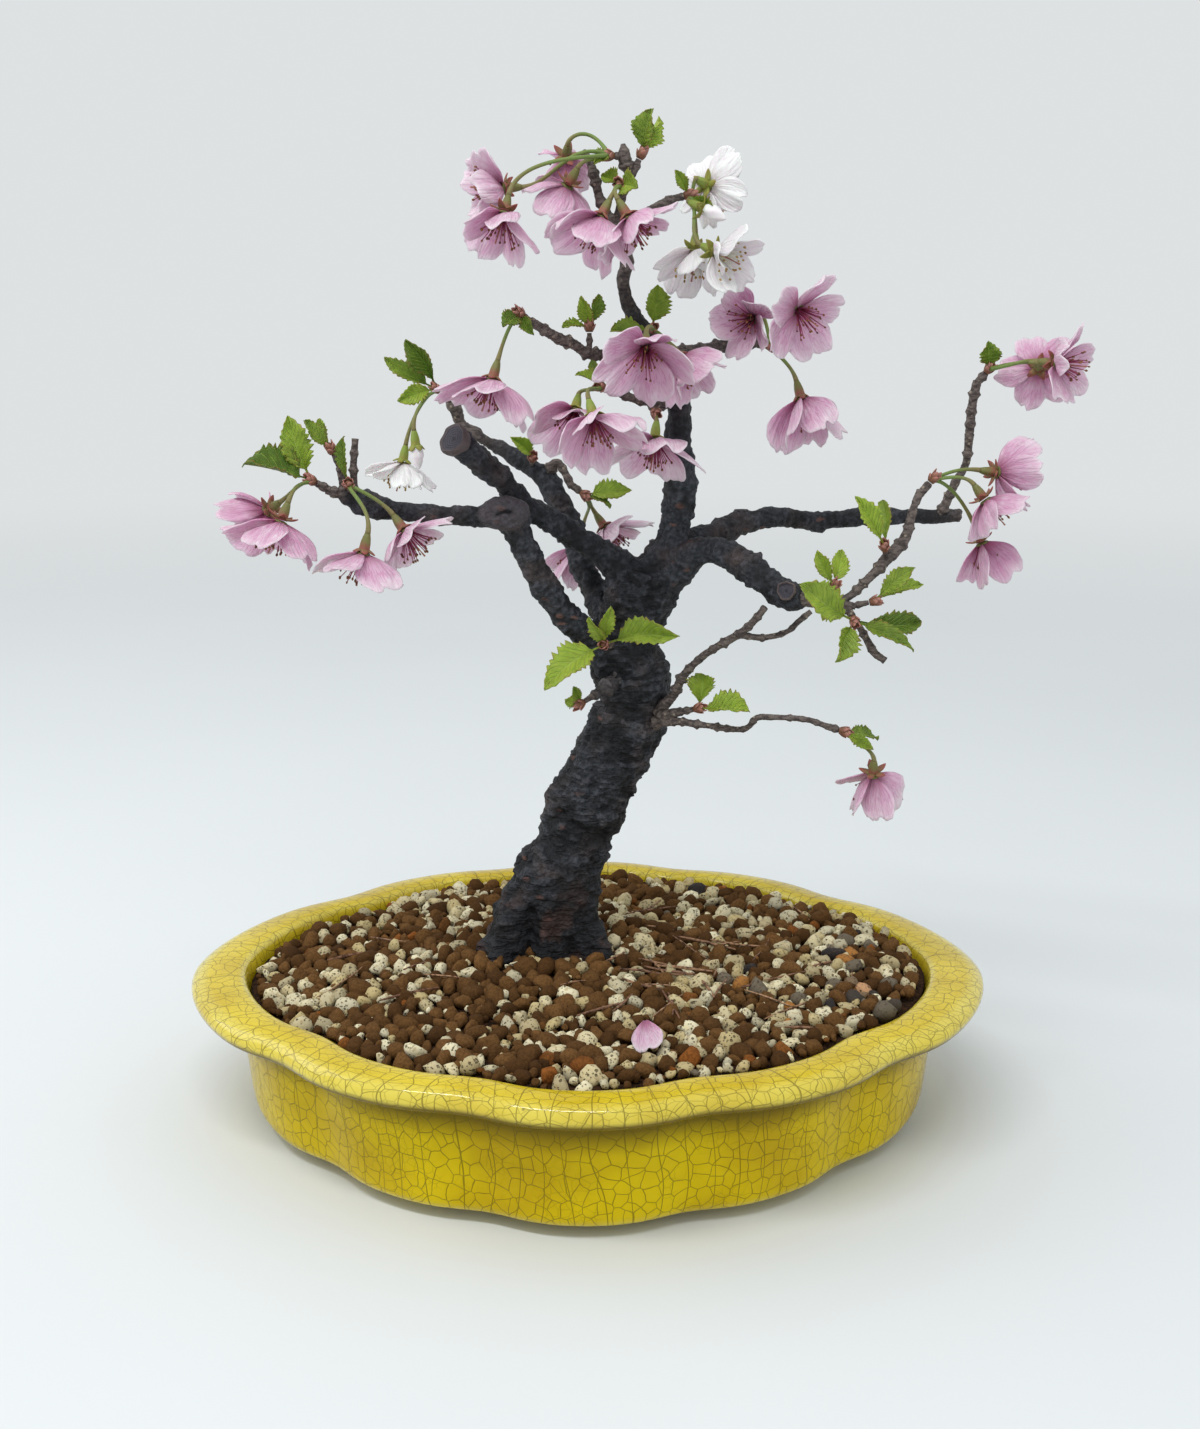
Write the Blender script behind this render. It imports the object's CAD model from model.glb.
# %% [markdown]
# # A cherry blossom bonsai in a lobed, crackle-glazed pot
# A bonsai is wood, young growth, flowers, soil and a pot, and each of them is made here in its
# own way from the numbers that lay out the frame. Lengths in these cells are millimetres round
# the pot's centre, and one function at the end of the line turns them into the frame's metres.
# Every surface is worked out as whole numpy arrays, so a change of one number changes the shape.

# %% The frame
import math

import bmesh
import bpy
import numpy as np
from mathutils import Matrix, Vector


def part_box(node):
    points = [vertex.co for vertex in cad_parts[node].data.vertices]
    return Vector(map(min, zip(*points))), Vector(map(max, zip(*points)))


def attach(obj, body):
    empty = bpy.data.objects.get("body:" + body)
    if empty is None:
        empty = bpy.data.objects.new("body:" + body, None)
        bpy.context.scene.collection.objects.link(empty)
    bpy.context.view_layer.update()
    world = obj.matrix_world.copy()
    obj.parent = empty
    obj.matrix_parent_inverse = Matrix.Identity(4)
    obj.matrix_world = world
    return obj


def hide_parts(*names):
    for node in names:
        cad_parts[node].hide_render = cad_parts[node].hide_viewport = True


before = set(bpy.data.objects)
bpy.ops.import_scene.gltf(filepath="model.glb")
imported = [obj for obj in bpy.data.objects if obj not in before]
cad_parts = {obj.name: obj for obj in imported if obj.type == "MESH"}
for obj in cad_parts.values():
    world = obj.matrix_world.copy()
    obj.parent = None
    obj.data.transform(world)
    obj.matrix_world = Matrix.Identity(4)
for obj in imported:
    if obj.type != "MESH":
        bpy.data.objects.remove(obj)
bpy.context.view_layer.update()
POT_LOW, POT_HIGH = (np.array(corner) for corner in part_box("pot"))
POT_CENTRE = np.array([(POT_LOW[0] + POT_HIGH[0]) / 2, (POT_LOW[1] + POT_HIGH[1]) / 2, POT_LOW[2]])
MM = 0.001
print("nodes", len(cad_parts), "pot centre", POT_CENTRE.round(5))

# %% [markdown]
# ## Camera
# A lens of about 42 mm stands 0.6 m in front of the trunk, level with the upper branches, and
# looks down by fourteen degrees. It comes first, so that every later step can be looked at.

# %% Camera
CAMERA_PLACE = [4.72, -601.4, 303.8]
CAMERA_DOWN = 13.91                    # degrees below level
CAMERA_LENS, SENSOR_WIDTH = 41.77, 36
NEAREST_SEEN = 0.01                    # metres from the lens


def in_frame(points):
    """Millimetres round the pot's centre to metres in the frame: p / 1000 + the pot's centre."""
    return np.asarray(points, float) * MM + POT_CENTRE


def into_scene(name, data):
    """A new object that shows the given mesh, lamp or camera."""
    made = bpy.data.objects.new(name, data)
    bpy.context.scene.collection.objects.link(made)
    return made


lens = bpy.data.cameras.new("camera")
lens.lens, lens.sensor_width, lens.clip_start = CAMERA_LENS, SENSOR_WIDTH, NEAREST_SEEN
camera = into_scene("camera", lens)
camera.location = in_frame(CAMERA_PLACE)
camera.rotation_euler = (math.radians(90 - CAMERA_DOWN), 0, 0)
bpy.context.scene.camera = camera
print("camera at", [round(c, 4) for c in camera.location])

# %% [markdown]
# ## Meshes from arrays
# A surface is a grid of points, worked out from two parameters, and the faces between neighbours.
# A small class gathers such patches, each with its own finish, and writes them into one mesh.
# Every point also carries three numbers, here called its lay: how far along it is, how far across
# and one number by chance. Finishes read them, so that a vein follows its petal.


# %% Patches and pieces
def grid_quads(rows, columns, wrap=False):
    """Four-sided faces between neighbours of a grid. Wrap joins the last column to the first."""
    row = np.arange(rows - 1)[:, None] * columns
    column = np.arange(columns if wrap else columns - 1)
    after = (column + 1) % columns
    corners = [row + column, row + after, row + after + columns, row + column + columns]
    return np.stack(corners, -1).reshape(-1, 4)


class Piece:
    """Gathers patches of surface in millimetres and makes one Blender object of them."""

    def __init__(self, name, *finishes):
        self.name, self.finishes = name, finishes
        self.points, self.lay, self.faces, self.flat, self.count = [], [], [], [], 0

    def add(self, points, faces, lay=(0, 0, 0), finish=0, flat=None, round_trip=1.0):
        """Flat is a place on a flat map for each point. Where a face spans the map's seam, its low
        corners are moved on by the length of the round trip."""
        points = np.asarray(points, float).reshape(-1, 3)
        self.points.append(points)
        self.lay.append(np.broadcast_to(lay, points.shape))
        self.faces += [(patch + self.count, finish) for patch in faces]
        self.count += len(points)
        for patch in faces if flat is not None else []:
            corner = flat[patch]
            low = corner[..., :1].max(axis=1, keepdims=True) - corner[..., :1] > round_trip / 2
            self.flat.append((corner + low * [round_trip, 0]).reshape(-1, 2))

    def make(self, slot, *nodes):
        """The mesh of all patches, smooth, with its lay. It rides on the root and stands for nodes."""
        loops = np.concatenate([patch.ravel() for patch, _ in self.faces]).astype(np.int32)
        sizes = np.concatenate([np.full(len(patch), patch.shape[1]) for patch, _ in self.faces])
        finish = np.concatenate([np.full(len(patch), number) for patch, number in self.faces])
        mesh = bpy.data.meshes.new(self.name)
        mesh.vertices.add(self.count)
        mesh.vertices.foreach_set("co", in_frame(np.vstack(self.points)).astype(np.float32).ravel())
        mesh.loops.add(len(loops))
        mesh.loops.foreach_set("vertex_index", loops)
        mesh.polygons.add(len(sizes))
        mesh.polygons.foreach_set("loop_start", (np.cumsum(sizes) - sizes).astype(np.int32))
        mesh.polygons.foreach_set("material_index", finish.astype(np.int32))
        mesh.polygons.foreach_set("use_smooth", np.ones(len(sizes), bool))
        lay = mesh.attributes.new("lay", "FLOAT_VECTOR", "CORNER")     # corners outlast a boolean cut
        lay.data.foreach_set("vector", np.vstack(self.lay)[loops].astype(np.float32).ravel())
        if self.flat:
            flat = mesh.uv_layers.new(name="flat_map")
            flat.uv.foreach_set("vector", (np.vstack(self.flat) * MM).astype(np.float32).ravel())
        for one in self.finishes:
            mesh.materials.append(one)
        mesh.update(calc_edges=True)
        mesh.validate()
        made = into_scene(self.name, mesh)
        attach(made, "root")
        if nodes:
            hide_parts(*nodes)
        print(self.name, "triangles", int((sizes - 2).sum()))
        return made


# %% [markdown]
# ## Helpers for shapes that grow
# Tubes follow a smooth curve through a few points. Thin sheets, for petals and leaves, get a
# second face a small thickness behind the first and a strip round the rim, so they are closed.
# Roughness comes from noise on a lattice: it depends on the place alone, so it needs no seed order.


# %% Directions, turns and bells
def unit(vectors):
    """Vectors divided by their lengths."""
    vectors = np.asarray(vectors, float)
    return vectors / np.maximum(np.linalg.norm(vectors, axis=-1, keepdims=True), 1e-9)


def bell(away, width=1.0):
    """e^-(away / width)^2: 1 in the middle, a third at one width, near 0 at two widths."""
    return np.exp(-((away / width) ** 2))


def round_angles(sides):
    """The angles of a full turn in equal steps, from 0."""
    return np.arange(sides) * 2 * np.pi / sides


def circle(first, second, sides):
    """Points first * cos + second * sin of a full turn, for one pair of directions or for many."""
    angle = round_angles(sides)[:, None]
    return first[..., None, :] * np.cos(angle) + second[..., None, :] * np.sin(angle)


def about(axis, degrees):
    """The matrix that turns points by those degrees about the x or the z axis."""
    c, s = math.cos(math.radians(degrees)), math.sin(math.radians(degrees))
    turns = {"x": [[1, 0, 0], [0, c, -s], [0, s, c]], "z": [[c, -s, 0], [s, c, 0], [0, 0, 1]]}
    return np.array(turns[axis])


def two_ways(rows, columns):
    """The parameters of a grid: u from 0 to 1 down a column, v from -1 to 1 along a row."""
    return np.linspace(0, 1, rows)[:, None], np.linspace(-1, 1, columns)[None]


print("bell at two widths", bell(2.0).round(3))

# %% Paths, tubes, sheets and noise
def smooth_path(points, step):
    """Points about a step apart on the Catmull-Rom curve through the given points: on each span
    a cubic whose slope at both ends is half the way between that end's two neighbours."""
    p = np.asarray(points, float)
    p = np.vstack([2 * p[0] - p[1], p, 2 * p[-1] - p[-2]])
    spans = np.linalg.norm(np.diff(p[1:-1, :3], axis=0), axis=1)
    reach = np.concatenate([[0], np.cumsum(spans)])
    s = np.linspace(0, reach[-1], max(int(reach[-1] / step), 2) + 1)
    span = np.clip(np.searchsorted(reach, s, side="right") - 1, 0, len(spans) - 1)
    t = ((s - reach[span]) / spans[span])[:, None]
    a, b, c, d = (p[span + k] for k in range(4))
    cubic = (2 * a - 5 * b + 4 * c - d) * t**2 + (3 * b - a - 3 * c + d) * t**3
    return 0.5 * (2 * b + (c - a) * t + cubic)


def path_length(path):
    """How far along a path each of its points lies."""
    return np.linalg.norm(np.diff(path, axis=0, prepend=path[:1]), axis=1).cumsum()


STEPS = (-1, 0, 1)
WAYS = unit([[x, y, z] for x in STEPS for y in STEPS for z in (0, 1) if (x, y, z) != (0, 0, 0)])


def across_path(path):
    """Two directions across each point of a path: of several fixed directions, the one that stays
    furthest from all tangents, less its part along the tangent, and the product of the two."""
    tangent = unit(np.gradient(path, axis=0))
    clear = np.linalg.norm(np.cross(WAYS[:, None], tangent[None]), axis=-1).min(axis=1)
    way = WAYS[clear.argmax()]
    across = unit(way - tangent * (tangent @ way)[:, None])
    return across, np.cross(tangent, across)


def tube(path, radii, sides):
    """Rings centre + radius * (across cos + upward sin) round a path, with a fan at each end.
    Radii are one for each ring, or one for each point of each ring."""
    path, radii = np.asarray(path, float), np.asarray(radii, float)
    radii = radii[:, None] if radii.ndim == 1 else radii
    ring = circle(*across_path(path), sides)
    return close_rings(path[:, None] + ring * np.broadcast_to(radii, (len(path), sides))[..., None])


def close_rings(rings):
    """Faces of a stack of rings, with a fan from the middle of the first and of the last ring."""
    rows, sides, _ = rings.shape
    points = np.vstack([rings.reshape(-1, 3), rings[0].mean(axis=0), rings[-1].mean(axis=0)])
    side = np.arange(sides)
    after = (side + 1) % sides
    last = (rows - 1) * sides
    start = np.stack([np.full(sides, rows * sides), after, side], -1)
    end = np.stack([np.full(sides, rows * sides + 1), last + side, last + after], -1)
    return points, [grid_quads(rows, sides, wrap=True), start, end]


def sheet(grid, thickness):
    """A closed thin body: the grid moved half a thickness to each side along its normal, which is
    the product of its two slopes, with a strip of faces round the rim."""
    rows, columns, _ = grid.shape
    normal = unit(np.cross(np.gradient(grid, axis=1), np.gradient(grid, axis=0)))
    points = np.concatenate([grid + normal * thickness / 2, grid - normal * thickness / 2])
    top = grid_quads(rows, columns)
    count = rows * columns
    index = np.arange(count).reshape(rows, columns)
    rim = np.concatenate([index[0, :-1], index[:-1, -1], index[-1, :0:-1], index[:0:-1, 0]])
    after = np.roll(rim, -1)
    strip = np.stack([rim, rim + count, after + count, after], -1)
    return points.reshape(-1, 3), [top, top[:, ::-1] + count, strip]


def lattice_noise(points, size, seed):
    """Smooth chance from -1 to 1: numbers hashed from the corners of a lattice of the given size,
    blended between corners with the curve 3t^2 - 2t^3."""
    p = np.asarray(points, float) / size + seed * 13.7
    cell = np.floor(p).astype(np.int64)
    t = p - cell
    t = t * t * (3 - 2 * t)
    total = np.zeros(p.shape[:-1])
    for corner in range(8):
        pick = np.array([corner & 1, corner >> 1 & 1, corner >> 2 & 1])
        c = cell + pick
        mixed = (c[..., 0] * 374761393 + c[..., 1] * 668265263 + c[..., 2] * 1440662683) & 0xFFFFFFFF
        mixed = ((mixed ^ (mixed >> 13)) * 1274126177) & 0xFFFFFFFF
        value = ((mixed ^ (mixed >> 16)) & 0xFFFF) / 32767.5 - 1
        total += value * np.prod(np.where(pick, t, 1 - t), axis=-1)
    return total


def ball(level):
    """Points and three-sided faces of a unit ball: 20 faces, 80 or 320 for level 1, 2 or 3."""
    shape = bmesh.new()
    bmesh.ops.create_icosphere(shape, subdivisions=level, radius=1)
    points = np.array([vertex.co[:] for vertex in shape.verts])
    faces = np.array([[vertex.index for vertex in face.verts] for face in shape.faces])
    shape.free()
    return points, faces


def copies(faces, count, stride):
    """The faces of many copies of one shape, numbered on from copy to copy."""
    return (faces[None] + np.arange(count)[:, None, None] * stride).reshape(-1, faces.shape[1])


def seeded(seed):
    """Chance in a fixed order, from 0 to 1: state = (1664525 * state + 1013904223) mod 2^32."""
    state = seed
    while True:
        state = (state * 1664525 + 1013904223) % 4294967296
        yield state / 4294967296


def lay_of(points, along=0.0, across=0.0, pick=0.0):
    """The lay of a tube's points. A value for each point of its rings leaves 0 at the two middles
    of the fans, which come last."""
    lay = np.zeros((len(points), 3))
    for axis, value in enumerate((along, across, pick)):
        lay[:np.size(value) if np.ndim(value) else None, axis] = value
    return lay


print("a ball with 20 faces has", len(ball(1)[0]), "points")

# %% [markdown]
# ## Finishes as expressions
# A finish in Blender is a tree of nodes. Written as Python expressions it reads like a formula:
# one class wraps a node's output, and adding or multiplying it makes the Math node. Any other
# node comes from one method that takes its type, its settings and what goes into its sockets.


# %% The finish class
class Value:
    """An output of a node that can be used in a sum like a number."""

    def __init__(self, finish, socket):
        self.finish, self.socket = finish, socket

    def math(self, operation, *others):
        inputs = dict(enumerate((self, *others)))
        return self.finish.node("ShaderNodeMath", {"operation": operation}, inputs)

    def __add__(self, other):
        return self.math("ADD", other)

    def __sub__(self, other):
        return self.math("SUBTRACT", other)

    def __mul__(self, other):
        return self.math("MULTIPLY", other)

    def __rsub__(self, other):
        return self.math("MULTIPLY_ADD", -1.0, other)

    __radd__ = __add__
    __rmul__ = __mul__

    def step(self, low, high):
        """0 below low, 1 above high and a smooth ramp between."""
        settings = {"interpolation_type": "SMOOTHSTEP"}
        return self.finish.node("ShaderNodeMapRange", settings, {0: self, 1: low, 2: high}, 0)


class Finish:
    """A material whose nodes are made by calls. Constants go straight onto the surface's sockets."""

    def __init__(self, name, constants):
        self.material = bpy.data.materials.new(name)
        self.material.use_nodes = True
        self.tree = self.material.node_tree
        self.surface = self.tree.nodes["Principled BSDF"]
        for socket, value in constants.items():
            self.put(self.surface.inputs[socket], value)

    def put(self, socket, value):
        if isinstance(value, Value):
            self.tree.links.new(value.socket, socket)
        elif isinstance(value, (tuple, list)) and socket.type == "RGBA":
            socket.default_value = (*value, 1.0)
        else:
            socket.default_value = value

    def node(self, kind, settings, inputs, output=0):
        """Any node: its type, its settings, what goes into its sockets, and the output to use."""
        made = self.tree.nodes.new(kind)
        for name, value in settings.items():
            setattr(made, name, value)
        for name, value in inputs.items():
            self.put(made.inputs[name], value)
        return Value(self, made.outputs[output])

    def place(self):
        return self.node("ShaderNodeTexCoord", {}, {}, "Object")

    def lay(self):
        """How far along, how far across and the number by chance of each point."""
        lay = self.node("ShaderNodeAttribute", {"attribute_name": "lay"}, {}, "Vector")
        return [self.node("ShaderNodeSeparateXYZ", {}, {0: lay}, axis) for axis in range(3)]

    def noise(self, place, size, detail=3.0, output="Fac"):
        """Noise whose lumps are about size metres wide."""
        inputs = {"Vector": place, "Scale": 1 / size, "Detail": detail}
        return self.node("ShaderNodeTexNoise", {}, inputs, output)

    def cells(self, place, size, feature="F1", dimensions="3D"):
        """Distance to the middle, or with another feature to the edge, of cells of that size."""
        settings = {"feature": feature, "voronoi_dimensions": dimensions}
        return self.node("ShaderNodeTexVoronoi", settings, {"Vector": place, "Scale": 1 / size}, "Distance")

    def stretch(self, place, factors):
        """The place times a factor on each axis: above 1 a pattern gets narrower that way."""
        return self.node("ShaderNodeVectorMath", {"operation": "MULTIPLY"}, {0: place, 1: factors})

    def warp(self, place, size, amount):
        """The place moved by up to about half the amount by noise of the given size."""
        push = self.noise(place, size, 2.0, "Color")
        inputs = {0: push, 1: (amount,) * 3, 2: place}
        return self.node("ShaderNodeVectorMath", {"operation": "MULTIPLY_ADD"}, inputs)

    def mix(self, factor, first, second):
        """The first colour where the factor is 0, the second where it is 1."""
        settings = {"data_type": "RGBA", "clamp_factor": True}
        return self.node("ShaderNodeMix", settings, {0: factor, 6: first, 7: second}, 2)

    def over(self, colour, *coats):
        """The colour with more colours laid over it in turn, each as strong as its factor."""
        for factor, coat in coats:
            colour = self.mix(factor, colour, coat)
        return colour

    def dress(self, colour, roughness=None, height=None, depth=0.0, coat=None):
        """Links what changes over the surface: colour, roughness, coat and a bump of that depth."""
        self.put(self.surface.inputs["Base Color"], colour)
        if roughness is not None:
            self.put(self.surface.inputs["Roughness"], roughness)
        if coat is not None:
            self.put(self.surface.inputs["Coat Weight"], coat)
        if height is not None:
            inputs = {"Height": height, "Distance": depth, "Strength": 1.0}
            self.put(self.surface.inputs["Normal"], self.node("ShaderNodeBump", {}, inputs))
        return self.material


def tone(red, green, blue):
    """A colour seen on a screen, 0 to 255, as the linear light that a shader works in."""
    seen = np.array([red, green, blue]) / 255
    return tuple(float(c) for c in np.where(seen > 0.04045, ((seen + 0.055) / 1.055) ** 2.4, seen / 12.92))


print("tone of mid grey", round(tone(128, 128, 128)[0], 3))

# %% [markdown]
# ## The glaze
# Crackle glaze is glass that has shrunk on the clay: it breaks into cells, and the cracks are
# rubbed with dark stain. Long cracks come first and run up the wall: they are evenly spaced lines,
# pushed out of shape by noise. Short ones split the strips between them: they are the edges of
# Voronoi cells, which have just that pattern. The glaze runs thin on edges, where it is paler and
# glossier, and pools darker under the lip.

# %% Crackle glaze
GLAZE_DEEP, GLAZE_BRIGHT, GLAZE_THIN = tone(193, 162, 0), tone(218, 191, 0), tone(222, 205, 86)
CRACK_STAIN, GLAZE_POOL = tone(100, 86, 4), tone(92, 74, 0)
CRACK_PITCH, CELL_MIDDLE, CELL_SMALL = 0.0105, 0.0057, 0.004


def crackle_glaze():
    """Yellow glass with stained cracks, laid out on the pot's flat map so that every crack cuts
    the surface squarely. Its lay holds how thin the glaze runs and how much of it has pooled."""
    glaze = Finish("crackle_glaze", {"IOR": 1.45, "Specular IOR Level": 0.12, "Coat Roughness": 0.03})
    place = glaze.place()
    thin, pool, _ = glaze.lay()
    flat = glaze.node("ShaderNodeUVMap", {"uv_map": "flat_map"}, {})
    around = glaze.node("ShaderNodeSeparateXYZ", {}, {"Vector": flat}, "X")
    wander = glaze.noise(glaze.stretch(flat, (1, 0.5, 1)), 0.034, 1.0)
    band = ((around * (1 / CRACK_PITCH) + 2.2 * wander).math("FRACT") - 0.5).math("ABSOLUTE")
    middle = glaze.cells(glaze.warp(flat, 0.009, 0.0036), CELL_MIDDLE, "DISTANCE_TO_EDGE", "2D")
    small = glaze.cells(glaze.warp(flat, 0.007, 0.002), CELL_SMALL, "DISTANCE_TO_EDGE", "2D")
    patchy = glaze.noise(place, 0.02, 2.0).step(0.45, 0.6)
    crack = 0.9 * (1 - band.step(0.009, 0.026))
    second = 0.85 * (1 - middle.step(0.016, 0.044))
    hair = (1 - small.step(0.02, 0.07)) * (0.45 * thin).math("MAXIMUM", 0.3 * patchy)
    lines = crack.math("MAXIMUM", second).math("MAXIMUM", hair)
    cloud = glaze.noise(place, 0.03, 4.0).step(0.3, 0.7)
    speck = 1 - glaze.cells(place, 0.021).step(0.02, 0.045)
    colour = glaze.over(
        glaze.mix(cloud, GLAZE_DEEP, GLAZE_BRIGHT), (thin * (0.5 + 0.5 * cloud), GLAZE_THIN),
        (0.9 * pool, GLAZE_POOL), (0.78 * lines, CRACK_STAIN), (0.6 * speck, tone(70, 50, 12)))
    height = glaze.noise(place, 0.008, 2.0) * 0.5 - 0.3 * lines
    return glaze.dress(colour, 0.13 + 0.2 * lines, height, 0.0002, 0.1 + 0.7 * thin - 0.1 * lines)


GLAZE = crackle_glaze()
print("finish", GLAZE.name)

# %% [markdown]
# ## The pot
# The pot is pressed in a mould: an oval with eight lobes, a plain wall and a broad rolled lip.
# One profile, given as half-length, half-width and height, is carried round the lobed plan. The
# drain holes are then cut through its floor, and four low feet follow the plan at the corners.

# %% The lobed plan and the pot's profile
PLAN_POWER = 1.8
NOTCH_DEPTH, NOTCH_WIDTH, NOTCH_ANGLES = 0.032, 7, np.array([42, 72, 108, 138, 222, 252, 288, 318])
PLAN_POINTS = 288
SEAM_ANGLE = 108          # the flat map starts and ends in a notch at the back
OUTSIDE = [
    [124.5, 102.5, 4], [127, 104.6, 4.6], [130.5, 107.5, 8], [132.5, 110, 24], [134.2, 111.6, 41],
    [136, 113, 45], [141, 116.5, 46.6], [148.5, 120, 47.6], [151.4, 122.2, 49.2], [152.4, 122.9, 51.4],
    [151.6, 122.2, 53.6], [148.5, 120.5, 55.6], [143, 116.5, 56.7], [137, 112.2, 57], [132.8, 109, 56.2],
    [131.2, 107.4, 54], [130, 106, 48], [127, 102.5, 30], [123, 97, 15], [116, 92, 10],
]
FLOOR_STEPS = np.array([0.8, 0.6, 0.4, 0.2, 0.05])
FOOT_OVALS, FOOT_HEIGHT = [(117, 93), (104, 81)], 6
DRAIN_PLACES, DRAIN_RADIUS = [-52, 52], 9


def degrees_from(angles, centres):
    """Degrees from each centre to each angle, from -180 to 180."""
    return (angles[..., None] - centres + 180) % 360 - 180


def notch_dip(angles):
    """1, less a bell-shaped dip at each notch angle."""
    return 1 - NOTCH_DEPTH * bell(degrees_from(angles, NOTCH_ANGLES), NOTCH_WIDTH).sum(-1)


def plan_ring(half_length, half_width, angles):
    """x = a * c^(2/p) and y = b * s^(2/p) with the signs of cosine c and sine s, drawn in by the
    dip at each notch angle."""
    c, s = np.cos(np.radians(angles)), np.sin(np.radians(angles))
    dip = notch_dip(angles)
    x = half_length * np.sign(c) * np.abs(c) ** (2 / PLAN_POWER) * dip
    y = half_width * np.sign(s) * np.abs(s) ** (2 / PLAN_POWER) * dip
    return x, y


def pot_surface():
    """Rings of the plan along the profile: underside, wall, lip, inside wall and inside floor."""
    profile = smooth_path(OUTSIDE, 1.1)
    under = np.array([[124.5 * f, 102.5 * f, 4] for f in FLOOR_STEPS[::-1]])
    floor = np.array([[116 * f, 92 * f, 10] for f in FLOOR_STEPS])
    profile = np.vstack([under, profile, floor])
    angles = SEAM_ANGLE + np.arange(PLAN_POINTS) * 360 / PLAN_POINTS
    x, y = plan_ring(profile[:, 0, None], profile[:, 1, None], angles[None])
    z = np.broadcast_to(profile[:, 2, None], x.shape)
    points, faces = close_rings(np.stack([x, y, z], -1))
    # the glaze runs thin on the outer roll, the inner edge and the foot, and pools under the lip
    out, _, up = profile.T
    outer_roll = bell(out - 150, 5) * (up > 50) * (out > 140)
    inner_edge = bell(out - 132, 2.5) * bell(up - 56, 2)
    foot, top = 0.6 * bell(up - 5, 2), 0.35 * (up > 51)
    thin = np.maximum(np.maximum(outer_roll, inner_edge), np.maximum(foot, top))
    pooled = (out > 132.9) * np.clip((up - 33) / 9.5, 0, 1) * np.clip(51 - up, 0, 1)
    middle = np.stack(plan_ring(142, 116, angles), -1)
    steps = np.linalg.norm(np.roll(middle, -1, axis=0) - middle, axis=1)
    onward = np.tile(steps.cumsum() - steps, len(profile))
    flat = lay_of(points, onward, np.repeat(path_length(profile), PLAN_POINTS))
    return {
        "points": points, "faces": faces, "flat": flat[:, :2], "round_trip": steps.sum(),
        "lay": lay_of(points, np.repeat(thin, PLAN_POINTS), np.repeat(pooled, PLAN_POINTS)),
    }


def pot_feet(piece):
    """Feet: a squared ring carried along an arc of the plan, drawn in at both ends."""
    share = np.linspace(0, 1, 25)
    angle = np.radians(36 + 27 * share)
    outer, inner = (
        np.stack([a * np.cos(angle) ** 1.1, b * np.sin(angle) ** 1.1], -1) for a, b in FOOT_OVALS)
    drawn_in = (1 - np.abs(2 * share - 1) ** 10 * 0.35)[:, None, None]
    turn = round_angles(20)
    wave, rise = (np.sign(value) * np.abs(value) ** 0.5 for value in (np.cos(turn), np.sin(turn)))
    flat = (outer + inner)[:, None] / 2 + (outer - inner)[:, None] / 2 * wave[None, :, None] * drawn_in
    height = np.broadcast_to(FOOT_HEIGHT / 2 + FOOT_HEIGHT / 2 * rise, flat.shape[:2])
    rings = np.concatenate([flat, height[..., None]], -1)
    for x, y in [(1, 1), (-1, 1), (-1, -1), (1, -1)]:
        corner = rings * [x, y, 1]
        points, faces = close_rings(corner[::-1] if x * y > 0 else corner)
        piece.add(points, faces, (0.5, 0, 0), 0, points[:, :2], 1000)


pot = Piece("pot_body", GLAZE)
pot.add(**pot_surface())
pot_feet(pot)
pot_object = pot.make("glaze", "pot")

# %% Drain holes
for number, x in enumerate(DRAIN_PLACES):
    ring = circle(np.array([DRAIN_RADIUS, 0, 0]), np.array([0, DRAIN_RADIUS, 0]), 32)
    drill = Piece(f"drill_{number}", GLAZE)
    drill.add(*close_rings(ring + np.array([[[x, 0, 1]], [[x, 0, 14]]])))
    drill_object = drill.make("glaze")
    cut = pot_object.modifiers.new("drain", "BOOLEAN")
    cut.object, cut.operation, cut.solver = drill_object, "DIFFERENCE", "EXACT"
    with bpy.context.temp_override(object=pot_object):
        bpy.ops.object.modifier_apply(modifier="drain")
    bpy.data.objects.remove(drill_object)
print("pot faces after drilling", len(pot_object.data.polygons))

# %% [markdown]
# ## Drain screens
# Squares of black plastic net keep the soil in. Their shape in the frame is already right, so
# they only get a finish: matt plastic with fine scuffs and dust.

# %% Screen plastic
plastic = Finish("screen_plastic", {"IOR": 1.46})
place = plastic.place()
scuff = plastic.noise(plastic.stretch(place, (1, 6, 1)), 0.002, 4.0).step(0.45, 0.75)
dust = plastic.noise(place, 0.008, 5.0).step(0.4, 0.8)
colour = plastic.mix(0.5 * dust, plastic.mix(scuff, tone(24, 26, 25), tone(44, 46, 44)), tone(92, 76, 60))
SCREEN = plastic.dress(colour, 0.45 + 0.3 * dust, scuff, 0.0001)
for side in ("left", "right"):
    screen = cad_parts[f"drain_screen_{side}"]
    for spot in screen.material_slots:
        spot.link = "OBJECT"
        spot.material = SCREEN
    print(screen.name, "slots", len(screen.material_slots))

# %% [markdown]
# ## The soil
# The bed is a mix of baked clay grains and pumice, three to nine millimetres across. Under the
# grains lies one closed body with the soil's level, low at the wall and raised at the trunk.
# Each grain is a ball of eighty faces, pushed out of shape by noise, cut by a few planes and
# turned at random. Large grains push each other apart until they fit, and small ones fill in.

# %% Soil level
TRUNK_FOOT = np.array([-15, 10])
SOIL_AT_WALL, MOUND_HEIGHT, MOUND_WIDTH = 53.5, 7, 52
FALLEN_PETAL, PETAL_SPOT, PETAL_SLOPE = np.array([21, -74]), 8.5, 26      # place, radius, degrees
CAVITY = [(116, 92, 10), (123, 97, 14), (130, 106, 50)]                  # from the floor up
SOIL_GAP, BED_INSET = 0.4, 0.35                                          # from wall and rim


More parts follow.
